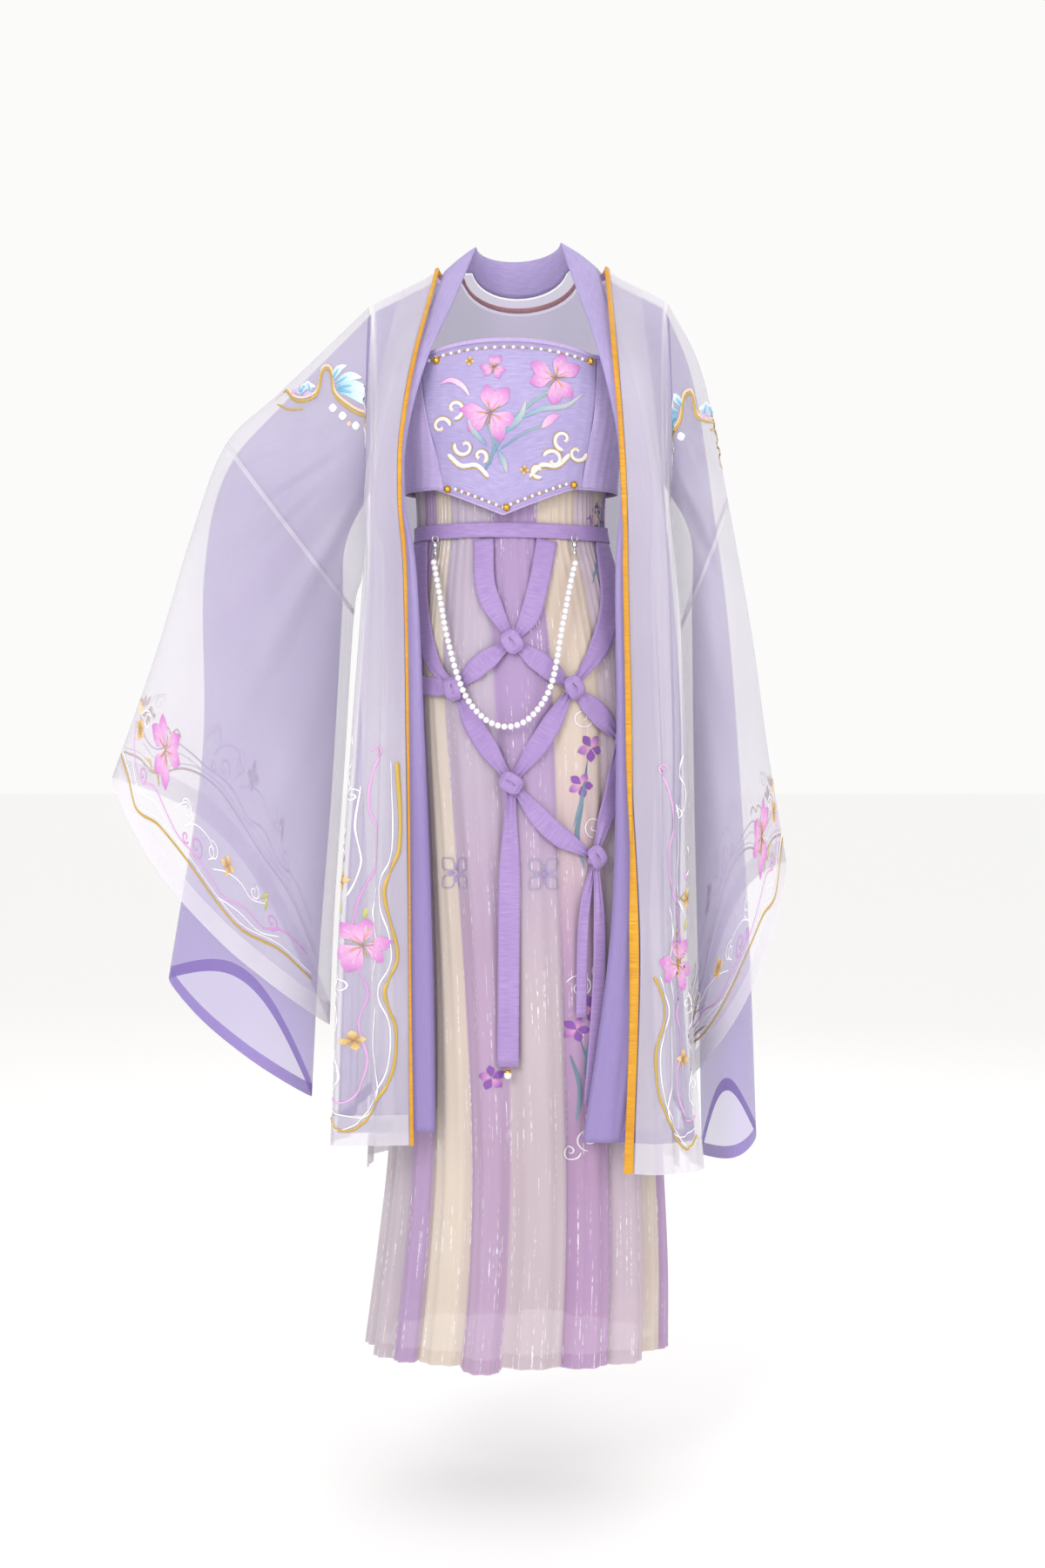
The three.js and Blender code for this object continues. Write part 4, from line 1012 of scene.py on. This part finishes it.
def knot_at(x, drop):
    """A knot: a ball flattened to 13 by 7 by 12 mm with slanting folds, and one turn of ribbon round it."""
    angle = float(front_angle(x, drop))
    centre = oval(SKIRT, angle, drop, 8.0)
    facing = np.radians(angle + 90)

    def turned(along, outwards, up):
        return (
            centre[0] + along * np.cos(facing) - outwards * np.sin(facing),
            centre[1] + along * np.sin(facing) + outwards * np.cos(facing),
            centre[2] + up,
        )

    def lump(u, v):
        a, o, h = ball(u, v)
        fold = 1 + 0.16 * np.cos(3 * u + 5 * v) * np.cos(v)
        return turned(11 * a * fold, 5.4 * o * fold, 10 * h * fold)

    def wrap(u, v):
        slant = 0.7 + 0.5 * np.sin(drop)
        band = 6.2 * np.cos(u) * (0.75 + 0.25 * np.abs(np.sin(v)))
        along = (6.5 + 1.4 * np.sin(u)) * np.cos(v) + band * 0.25
        up = (13 + 1.4 * np.sin(u)) * np.sin(v)
        outwards = 1.2 * np.sin(u) - 4.6 * np.abs(np.cos(v)) - 1
        cos, sin = np.cos(slant), np.sin(slant)
        return turned((along + band * 0.8) * cos - up * sin, outwards, (along + band * 0.8) * sin + up * cos)

    return lump, wrap


for number, (x, drop) in enumerate(KNOTS, 1):
    lump, wrap = knot_at(x, drop)
    name = f"net_knot_{number}"
    keep(name, cloth(name, lump, circle(28), np.linspace(-1.5, 1.5, 17), RIBBON_CLOTH, ring=True))
    cloth(f"{name}_turn", wrap, circle(10), np.linspace(0, 2 * np.pi, 37), RIBBON_CLOTH, ring=True)


# ------------------------------------------------------------------ pearls, studs and clasps
def balls(name, centres, radii, material, columns=10, rows=7):
    """Many small balls in one mesh: one ball's points, scaled by each radius and moved to each centre."""
    u, v = np.meshgrid(circle(columns), np.linspace(-1.45, 1.45, rows))
    unit = np.stack(ball(u, v), -1).reshape(-1, 3)
    centres = np.asarray(centres, float)
    radii = np.broadcast_to(np.asarray(radii, float), len(centres))
    points = (centres[:, None] + unit[None] * radii[:, None, None]).reshape(-1, 3)
    quads = grid_faces(rows, columns, True)
    faces = (quads[None] + (np.arange(len(centres)) * len(unit))[:, None, None]).reshape(-1, 4)
    caps = np.arange(columns)
    starts = np.arange(len(centres))[:, None] * len(unit)
    ends, tops = caps[::-1] + starts, caps + (rows - 1) * columns + starts
    return new_piece(name, points, faces[:, ::-1].tolist() + ends.tolist() + tops.tolist(), material)


def lathe(name, profile, centre, material, sides=20):
    """A turned shape: a profile of radius and height, smoothed, about an upright line through a centre."""
    profile = np.array(profile, float)
    marks = np.linspace(0, 1, len(profile))

    def surface(u, v):
        r, up = np.maximum(smooth(marks, profile[:, 0], v), 0.02), smooth(marks, profile[:, 1], v)
        return centre[0] + r * np.cos(u), centre[1] + r * np.sin(u), centre[2] + up

    rows = np.linspace(0, 1, len(profile) * 4)
    return cloth(name, surface, circle(sides), rows, material, ring=True, flip=True)


def ring(name, centre, radius, wire, material, across=(1, 0, 0)):
    """A wire ring: a torus that stands up, facing across."""
    across = np.array(across, float) / np.linalg.norm(across)
    along = np.array((across[1], -across[0], 0))

    def surface(u, v):
        r = radius + wire * np.cos(u)
        flat, high = r * np.cos(v), r * np.sin(v)
        side = wire * np.sin(u)
        x, y, z = (centre[k] + flat * along[k] + side * across[k] for k in range(3))
        return x, y, z + high

    return cloth(name, surface, circle(8), np.linspace(0, 2 * np.pi, 25), material, ring=True)


STRAND = np.array([
    (-96, 372), (-91, 404), (-80, 471), (-62, 533), (-39, 563), (-15, 571), (8, 560), (29, 525), (41, 457),
    (50, 400), (55, 374),
], float)
stops = np.stack(over_skirt(STRAND[:, 0], STRAND[:, 1], 15.5), -1)
marks = np.r_[0, np.cumsum(np.linalg.norm(np.diff(stops, axis=0), axis=1))]
fine = np.linspace(0, marks[-1], 2000)
line = np.stack([smooth(marks, stops[:, k], fine) for k in range(3)], -1)
run = np.r_[0, np.cumsum(np.linalg.norm(np.diff(line, axis=0), axis=1))]
count = int(run[-1] / 7.6)
beads = np.stack([np.interp(np.linspace(3.8, run[-1] - 3.8, count), run, line[:, k]) for k in range(3)], -1)
strand = balls("pearl_strand", beads, 3.85, PEARL, 12, 8)
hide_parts("pearl_strand")
for name, x in (("right", -96), ("left", 55)):
    cx, cy, cz = (float(c) for c in over_skirt(x, 350, 12))
    profile = [(0, 0), (2.0, 0.6), (2.6, 4), (1.6, 7), (1.6, 9), (3.4, 11), (3.4, 14), (2.2, 17), (0, 18)]
    thing = lathe(f"clasp_{name}", profile, (cx, cy, cz - 17.5), SILVER)
    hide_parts(f"clasp_{name}")
    ring(f"clasp_{name}_ring", (cx, cy, cz + 3), 4.2, 0.9, SILVER, (0.6, -0.8, 0))
cx, cy, cz = (float(c) for c in over_skirt(-17, 972, 3))
profile = [(0, 0), (2.8, 1), (4.3, 3.2), (4.7, 5.8), (3.9, 8.2), (2.2, 9.8), (0, 10.2)]
thing = lathe("pearl_drop", profile, (cx, cy, cz - 14.6), PEARL)
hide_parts("pearl_drop")
profile = [(4.1, 7.6), (3.6, 9.4), (2.4, 10.6), (1.1, 11.4), (0.9, 13), (0, 13.4)]
lathe("pearl_drop_cap", profile, (cx, cy, cz - 14.4), GOLD)


def bodice_front(x, drop, out=1.2):
    """The bodice's front at a distance to the wearer's left and a drop, moved out."""
    return oval(BODICE, front_angle(x, drop, BODICE, 0.99), drop, out)


upper = np.linspace(226, 313, 39)
lower = np.linspace(240, 300, 33)
top_row = np.stack(oval(BODICE, upper, bodice_top(upper) + 12, 2.0), -1)
low_row = np.stack(oval(BODICE, lower, bodice_bottom(lower) - 9, 2.0), -1)
rows = np.concatenate([top_row[::2], low_row[::2]])
between = np.concatenate([top_row[1::2], low_row[1::2]])
balls("bodice_white_beads", rows, 2.2, PEARL, 8, 5)
balls("bodice_gold_beads", between, 1.4, GOLD, 8, 5)
across, drops = np.array([(-101, 137), (80, 137), (-88, 289), (60, 284), (-19, 312)], float).T
balls("bodice_studs", np.stack(bodice_front(across, drops, 2.0), -1), 4.4, GOLD, 14, 10)


# ------------------------------------------------------------------ embroidery and prints
class Needlework:
    """Stitched shapes on one surface. place(a, b) gives the surface's point for two lengths in mm. Each shape
    is a strip along a smooth line in those lengths; all are laid on the surface together, on the side that
    facing points to."""

    def __init__(self, place, facing=(0, -1, 0)):
        self.place, self.facing = place, np.array(facing, float)
        self.flat, self.faces, self.uv, self.dye, self.count = [], [], [], [], 0

    def stitch(self, points, width, first, last=None, shape="cord", high=0.5):
        """A strip along points, width mm wide: a cord keeps its width, a leaf is a sine to the power 0.8 and
        a petal a sine that is widest past its middle. Its section is a low arch, and its colour goes from
        first to last."""
        points = np.array(points, float)
        marks = np.r_[0, np.cumsum(np.hypot(*np.diff(points, axis=0).T))]
        count = int(np.clip(marks[-1] / 2.6, 7, 220))
        at = np.linspace(0, marks[-1], count)
        line = np.stack([smooth(marks, points[:, k], at) for k in (0, 1)], -1)
        way = np.gradient(line, axis=0)
        way /= np.maximum(np.linalg.norm(way, axis=1, keepdims=True), 1e-6)
        side = np.stack([-way[:, 1], way[:, 0]], -1)
        t = at / marks[-1]
        if shape == "cord":
            wide = np.minimum(1, np.minimum(t, 1 - t) * marks[-1] / 4 + 0.25)
        else:
            late, power = (1, 0.8) if shape == "leaf" else (1.25, 1.0)
            wide = np.sin(np.pi * t**late) ** power + 0.04
        across = np.array([-1, -0.6, 0, 0.6, 1])
        flat = line[:, None] + side[:, None] * (wide * width / 2)[:, None, None] * across[None, :, None]
        lift = high * np.array([0.15, 0.8, 1, 0.8, 0.15])[None, :] * np.minimum(1, wide + 0.3)[:, None] + 0.35
        self.flat.append(np.concatenate([flat, lift[..., None]], -1).reshape(-1, 3))
        self.faces.append(grid_faces(count, 5, start=self.count))
        along, over = np.broadcast_arrays(at[:, None], (wide * width / 2)[:, None] * across[None, :])
        self.uv.append(np.stack([along * MM, over * MM], -1).reshape(-1, 2))
        first, last = np.array(srgb(*first)), np.array(srgb(*(last or first)))
        tint = mix(first, last, t[:, None, None] + 0 * flat[..., :1])
        self.dye.append(tint.reshape(-1, 3))
        self.count += count * 5

    def spiral(self, x, y, size, turn, sense, width, colour, wind=1.35):
        """A scroll: a spiral that closes in by a power of its turn, with a tail where it starts."""
        t = np.linspace(0, 1, 16)
        angle = np.radians(turn) + sense * t * wind * 2 * np.pi
        r = size * (1 - t) ** 0.9 + size * 0.12
        self.stitch(np.stack([x + r * np.cos(angle), y + r * np.sin(angle)], -1), width, colour)

    def threads(self, width, colour, lines):
        """Several cords of one width and colour."""
        for points in lines:
            self.stitch(points, width, colour)

    def spirals(self, width, colour, rows):
        """Several scrolls of one width and colour, each a row of x, y, size, turn and sense."""
        for row in rows:
            self.spiral(*row, width, colour)

    def petal(self, x, y, turn, length, width, first, last, high, bend=0.12):
        """A petal from a centre along a direction in degrees, bent aside by a share of its length."""
        a = np.radians(turn)
        way, side = np.array([np.cos(a), np.sin(a)]), np.array([-np.sin(a), np.cos(a)])
        t = np.linspace(0.08, 1, 5)[:, None]
        line = np.array([x, y]) + way * t * length + side * bend * length * np.sin(np.pi * t / 2)
        self.stitch(line, width, first, last, "petal", high)

    def lily(self, x, y, size, turn=0, pale=(240, 200, 226), deep=(206, 118, 200)):
        """A six-petalled flower: three petals behind and three before, and gold threads in the middle."""
        for k in range(6):
            front_row = k % 2
            reach = size * (1.0 if front_row else 0.92)
            high, bend = 0.8 + 0.7 * front_row, 0.12 * (-1) ** k
            self.petal(x, y, turn + 60 * k, reach, size * 0.5, pale, deep, high, bend)
            self.petal(x, y, turn + 60 * k, reach * 0.8, size * 0.1, deep, pale, high + 0.4, bend)
        for k in range(5):
            a = np.radians(turn + 20 + 72 * k)
            tip = (x + size * 0.45 * np.cos(a), y + size * 0.45 * np.sin(a))
            half = (mix(x, tip[0], 0.5) + 1, mix(y, tip[1], 0.5))
            self.stitch([(x, y), half, tip], 1.1, (206, 150, 40), (236, 190, 84), high=2.2)

    def star(self, x, y, size):
        """A small gold flower: four petals with short gold threads between them."""
        for k in range(4):
            self.petal(x, y, 90 * k + 8, size, size * 0.62, (196, 150, 70), (240, 208, 150), 0.9, 0)
            a = np.radians(90 * k + 53)
            tip = (x + size * 0.8 * np.cos(a), y + size * 0.8 * np.sin(a))
            self.stitch([(x, y), tip], 1.2, (180, 130, 50), (236, 196, 120), high=1.0)

    def lay(self, name, material=None):
        """Lays all the strips on the surface and makes the piece; a strip's lift is along the normal."""
        flat = np.concatenate(self.flat)
        a, b = flat[:, 0], flat[:, 1]
        steps = ((0, 0), (0.5, 0), (0, 0.5))
        here, east, south = (np.stack(self.place(a + da, b + db), -1) for da, db in steps)
        normal = np.cross(east - here, south - here)
        normal /= np.maximum(np.linalg.norm(normal, axis=1, keepdims=True), 1e-9)
        sign = np.sign(normal @ self.facing)[:, None]
        points = here + normal * np.where(sign == 0, 1, sign) * flat[:, 2:]
        faces = np.concatenate(self.faces)
        corner = points[faces[:, :3]]
        toward = np.cross(corner[:, 1] - corner[:, 0], corner[:, 2] - corner[:, 0]) @ self.facing
        faces = np.where((toward < 0)[:, None], faces[:, ::-1], faces)
        uv, dye = np.concatenate(self.uv), np.concatenate(self.dye)
        return new_piece(name, points, faces, material or THREAD, uv, dye)


WHITE, PINK, DEEP, PALE = (250, 248, 250), (232, 178, 226), (212, 150, 214), (238, 233, 228)
GILT, TEAL, SKY = (206, 172, 84), (92, 160, 196), (150, 206, 236)
OLIVE, LIME = (176, 178, 90), (214, 206, 130)
LEFT_LOWER = 22  # the left front's embroidery sits this much lower


def panel(side):
    """A front's map: a in mm across from the gold piping and b the drop."""
    def place(a, b):
        b = b + (LEFT_LOWER if side == "left" else 0)
        return front(side, gold_at(side, b) + a / spread_across(side, b), b, 0, 0.3)

    return place


def cuff(side, face):
    """A cuff's map on its front or back: a in mm along its edge from the top fold, b in mm up from it."""
    turns, along, length = cuff_grid(side, "outer")

    def place(a, b):
        turn = np.interp(a, along, turns)
        turn = turn if face < 0 else 2 - turn
        return sleeve(side, "outer", 5 - b / np.interp(turn, turns, length), turn, 0.3)

    return place


def over_sleeve(side):
    """An upper sleeve's map: a in mm from the robe's middle and b the drop, solved for the place in the
    sleeve by ten steps of Newton's method."""
    sign = SIDES[side]

    def place(a, b):
        s, t = np.full_like(a, 0.8), np.full_like(a, 0.3)
        for _ in range(10):
            x, _, z = sleeve(side, "outer", s, t)
            xs, _, zs = sleeve(side, "outer", s + 0.01, t)
            xt, _, zt = sleeve(side, "outer", s, t + 0.005)
            exs, ezs, ext, ezt = (xs - x) / 0.01, (zs - z) / 0.01, (xt - x) / 0.005, (zt - z) / 0.005
            dx, dz = sign * a - x, -b - z
            whole = exs * ezt - ext * ezs
            whole = np.where(np.abs(whole) < 1e-3, 1e-3, whole)
            s = np.clip(s + np.clip((dx * ezt - ext * dz) / whole, -0.4, 0.4), 0.03, 4)
            t = np.clip(t + np.clip((exs * dz - dx * ezs) / whole, -0.15, 0.15), 0.02, 0.98)
        return sleeve(side, "outer", s, t, 0.3)

    return place


def front_work(side):
    """A front: a gold line that leaves the piping and turns along the hem, a vine, scrolls and flowers."""
    work, gold = Needlework(panel(side)), Needlework(panel(side))
    line = [(6, 612), (6, 715), (20, 765), (9, 842), (22, 884), (12, 930), (19, 985), (45, 1030)]
    line = np.array(line + [(66, 1046), (88, 1030)], float)[0 if side == "right" else 3:]
    gold.stitch(line, 3.0, GILT, high=1.2)
    work.stitch(line + (5.5, -1), 1.4, WHITE, high=0.7)
    vine = [(24, 596), (34, 625), (38, 665), (30, 700), (34, 735), (48, 770), (56, 805)]
    work.stitch(vine, 2.0, PINK, DEEP)
    work.spiral(27, 600, 7, 0, -1, 1.8, PINK)
    low = [(54, 850), (44, 885), (54, 920), (46, 960), (52, 990), (66, 1012), (90, 1008)]
    work.stitch(low, 2.0, DEEP, PINK)
    work.threads(1.5, WHITE, [
        [(62, 582), (58, 606), (66, 626), (60, 648), (50, 640)],
        [(44, 640), (50, 690), (46, 730), (58, 770)],
        [(70, 690), (74, 712), (66, 728)],
        [(30, 760), (38, 790), (30, 830), (40, 870)],
        [(70, 862), (80, 890), (70, 915), (78, 930)],
        [(34, 900), (38, 950), (30, 1000), (50, 1030), (84, 1022)],
        [(76, 950), (70, 985), (84, 1000)],
    ])
    work.spirals(1.5, WHITE, [(52, 652, 8, 200, 1), (68, 876, 11, 90, -1), (80, 972, 9, 150, 1)])
    for x, y, turn in ((46, 800, 250), (38, 815, 300), (62, 792, 280)):
        work.petal(x, y, turn, 17, 5, OLIVE, LIME, 0.8)
    work.petal(60, 720, 40, 14, 5, PINK, DEEP, 0.8)
    work.lily(47, 828, 34, 14)
    work.star(68, 752, 13)
    work.star(58, 940, 12)
    work.lay(f"front_{side}_embroidery")
    gold.lay(f"front_{side}_gold_line", GOLD_THREAD)


def cuff_work(side, face, layer):
    """A face of a cuff: a gold line along the edge, a vine, scrolls and flowers."""
    work, gold = (Needlework(cuff(side, face), (0, face, 0)) for _ in range(2))
    edge = [(4, 34), (34, 32), (66, 22), (112, 42), (170, 46), (232, 37), (272, 34), (330, 46), (380, 40)]
    gold.stitch(edge, 3.0, GILT, high=1.2)
    work.stitch(np.array(edge) + (0, 6), 1.4, WHITE, high=0.7)
    vine = [(10, 84), (30, 60), (56, 50), (84, 66), (112, 64), (150, 58), (176, 60), (204, 58)]
    work.stitch(vine + [(236, 50), (268, 60), (300, 56), (330, 70), (372, 66)], 2.0, PINK, DEEP)
    work.spirals(1.8, DEEP, [
        (58, 58, 8, -60, 1), (178, 70, 11, -90, 1), (158, 66, 6, 0, -1), (312, 70, 9, -90, 1),
    ])
    work.threads(1.5, WHITE, [
        [(132, 84), (148, 100), (162, 92), (156, 80)],
        [(30, 52), (60, 40), (96, 56), (140, 52)],
        [(150, 74), (170, 90), (196, 92), (208, 80), (200, 70)],
        [(210, 66), (232, 78), (256, 82), (276, 76), (300, 84)],
        [(228, 44), (262, 50), (296, 48), (326, 60)],
        [(16, 96), (28, 112), (44, 116)],
    ])
    work.spirals(1.5, WHITE, [
        (150, 94, 10, 180, -1), (204, 84, 10, 120, -1), (280, 86, 8, 90, -1), (36, 104, 9, 0, 1),
    ])
    work.stitch([(92, 74), (80, 82), (72, 74), (64, 80), (54, 74)], 2.6, (176, 160, 70), (214, 196, 110))
    for x, y, turn in ((290, 84, 40), (300, 74, 80)):
        work.petal(x, y, turn, 18, 5, OLIVE, LIME, 0.8)
    for turn in (70, 100, 130):
        work.petal(14, 92, turn, 17, 5, (246, 222, 190), (238, 200, 160), 0.8)
    if face < 0:
        work.lily(84, 112, 38, 10)
    work.star(26, 86, 12)
    work.star(232, 86, 12)
    work.lay(f"cuff_{side}_{layer}_embroidery")
    gold.lay(f"cuff_{side}_{layer}_gold_line", GOLD_THREAD)


def arm_band(side):
    """The arm band: a scalloped gold line over blue and white leaves, and a row of discs. It is drawn from a
    middle, turned outwards, and on the left arm it slopes down more."""
    work, gold = Needlework(over_sleeve(side)), Needlework(over_sleeve(side))
    middle, slope = ((238, 168), 0) if side == "right" else ((200, 200), 0.36 * 0.8)

    def slant(points):
        across, drop = np.array(points, float).T
        return np.stack([middle[0] - across, middle[1] + drop + across * slope], -1)

    scallop = [(-66, 2), (-52, -6), (-38, 8), (-24, 10), (-10, 2), (-3, -28), (6, -26), (12, 4)]
    scallop = np.array(scallop + [(28, 20), (46, 30), (62, 30)], float)
    gold.stitch(slant(scallop), 3.4, GILT, high=1.4)
    gold.stitch(slant([(66, 44), (80, 40), (92, 38)]), 4.2, GILT, high=1.4)
    gold.stitch(slant([(-60, 12), (-44, 20), (-26, 20)]), 2.6, GILT, high=1.2)
    work.stitch(slant(scallop + (0, -5)), 3.0, (250, 214, 180), high=0.8)
    for x, y, turn, size in (
        (14, -2, 20, 46), (14, -4, 2, 42), (12, -8, -22, 36), (8, -14, -52, 30),
        (-34, 0, -30, 26), (-30, 2, -70, 22), (-18, 0, -110, 22),
    ):
        way = size * np.array([np.cos(np.radians(turn)), np.sin(np.radians(turn))])
        root = np.array([x, y], float)
        half = root + way * 0.5 + (0, -3)
        work.stitch(slant([root, half, root + way + (0, 6)]), size * 0.3, SKY, WHITE, "leaf", 0.9)
        work.stitch(slant([root, half]), size * 0.12, TEAL, SKY, "leaf", 1.5)
    for x, y in ((-44, 2), (-28, 6)):
        leaf = slant([(x, y), (x + 7, y - 6), (x + 14, y)])
        work.stitch(leaf, 5, (196, 160, 220), (224, 200, 240), "leaf", 1.2)
    for x, y in ((10, 20), (22, 30), (38, 42), (52, 45)):
        for k in range(2):
            disc = slant([(x - 5 + k * 1.5, y), (x, y + 0.2), (x + 5 - k * 1.5, y)])
            work.stitch(disc, 10 - 3 * k, WHITE, WHITE, "leaf", 0.8 + k * 0.3)
    for x, y in ((30, 40), (70, 56)):
        work.stitch(slant([(x - 3, y), (x + 3, y)]), 6, (250, 206, 170), (250, 214, 190), "leaf", 0.8)
    work.lay(f"arm_band_{side}")
    gold.lay(f"arm_band_{side}_gold", GOLD_THREAD)


for side in SIDES:
    front_work(side)
    cuff_work(side, -1, "front")
    cuff_work(side, 1, "back")
    arm_band(side)

# the bodice: a spray of blossoms with leaves, a bud and cloud scrolls
work, gold = (Needlework(lambda a, b: bodice_front(a, b, 0.9)) for _ in range(2))
for pts, width in (
    ([(-44, 268), (-30, 240), (-14, 214), (14, 188), (38, 172)], 3.2),
    ([(-38, 262), (-34, 238), (-40, 214)], 2.6),
    ([(-26, 244), (2, 226), (26, 216)], 2.2),
):
    work.stitch(pts, width, (110, 150, 190), (150, 190, 170))
for pts, width in (
    ([(-20, 226), (-2, 206), (4, 188)], 7),
    ([(-8, 212), (22, 198), (52, 192), (72, 176)], 6),
    ([(-42, 240), (-58, 222), (-64, 208)], 6),
    ([(-30, 244), (-22, 258), (-18, 272)], 6),
):
    work.stitch(pts, width, (120, 168, 196), (206, 206, 200), "leaf", 0.9)
work.stitch([(22, 220), (34, 208), (44, 204)], 9, (246, 200, 220), (222, 150, 214), "leaf", 1.0)
leaf = [(-98, 166), (-84, 162), (-70, 170), (-62, 182)]
work.stitch(leaf, 6, (238, 170, 226), (250, 226, 236), "leaf", 0.9)
for x, y, size, turn in ((-38, 202, 36, 15), (38, 160, 33, 40), (-34, 148, 16, 10)):
    work.lily(x, y, size, turn)
for centre, sense, scrolls in (
    (-80, -1, [(0, 196, 11, 90), (-16, 216, 10, 0), (12, 240, 11, 200), (30, 252, 8, 60)]),
    (48, 1, [(0, 232, 11, 90), (16, 246, 10, 0), (-12, 256, 11, 200), (-30, 268, 8, 60)]),
):
    for dx, y, size, turn in scrolls:
        work.spiral(centre + dx, y, size, turn, sense, 4.2, PALE, 1.0)
        gold.spiral(centre + dx, y, size + 2.6, turn, sense, 1.2, GILT, 1.0)
    low = np.array([(centre - sense * dx, y) for dx, y in ((40, 276), (26, 262), (8, 262), (-8, 248))], float)
    work.stitch(low, 5, PALE)
    gold.stitch(low + (0, 4), 1.3, GILT)
work.star(-62, 140, 6)
work.star(2, 268, 6)
work.lay("bodice_embroidery")
gold.lay("bodice_gold_line", GOLD_THREAD)

# prints on the skirt: flat shapes in dye, a hair above the cloth
work = Needlework(lambda a, b: skirt_front(a, b, 0.3))
GREY, PLUM, ROSE, MOSS = (168, 156, 184), (134, 76, 168), (228, 158, 206), (96, 120, 140)
for centre in ((26, 745), (-82, 745)):
    for k in range(4):
        for sway in (-0.5, 0.5):
            angles = np.radians(45 + 90 * k) + np.array([0, sway, 0])
            ways = np.stack([np.cos(angles), np.sin(angles)], -1)
            work.stitch(np.array(centre) + ways * np.array([[4], [17], [25]]), 1.8, GREY, high=0.05)
        work.petal(*centre, 90 * k, 12, 6, (150, 124, 186), GREY, 0.1, 0)
for x, y, size in (
    (82, 596, 17), (70, 640, 15), (96, 320, 18), (84, 905, 18), (66, 930, 15), (-34, 986, 15), (94, 1010, 15),
):
    for k in range(5):
        work.petal(x, y, 72 * k + x, size, size * 0.62, ROSE if k % 2 else PLUM, PLUM, 0.1)
for pts, width in (
    ([(72, 660), (66, 700), (74, 740)], 5),
    ([(78, 610), (70, 660), (62, 690)], 4),
    ([(90, 300), (94, 350), (84, 400)], 5),
    ([(84, 920), (78, 980), (90, 1050)], 5),
    ([(70, 940), (84, 990), (82, 1040)], 4),
    ([(96, 330), (100, 380), (96, 420)], 4),
    ([(60, 960), (70, 1000), (66, 1040)], 5),
):
    work.stitch(pts, width, MOSS, (120, 150, 170), "leaf", 0.05)
work.spirals(1.7, (238, 230, 240), [
    (72, 560, 12, 0, 1), (86, 690, 12, 90, 1), (70, 880, 14, 200, 1),
    (92, 860, 10, 40, 1), (80, 1060, 13, 90, 1), (60, 1075, 10, 0, 1),
])
work.lay("skirt_prints")

# ------------------------------------------------------------------ floor
ground = bpy.data.meshes.new("floor")
FLOOR = -1.498  # where the wearer would stand, in metres
corners = [(x, y, FLOOR) for x, y in ((-15, -15), (15, -15), (15, 25), (-15, 25))]
ground.from_pydata(corners, [], [(0, 1, 2, 3)])
floor = bpy.data.objects.new("floor", ground)
bpy.context.collection.objects.link(floor)
white = Shading("floor_white", 0.6, specular=0.1)
white.shader.inputs["Base Color"].default_value = (0.955, 0.95, 0.945, 1)
floor.data.materials.append(white.material)

for side in SIDES:
    hem = [f"inner_front_{side}_hem"]
    hem = [f"inner_cuff_{side}_hem"]
for side in SIDES:
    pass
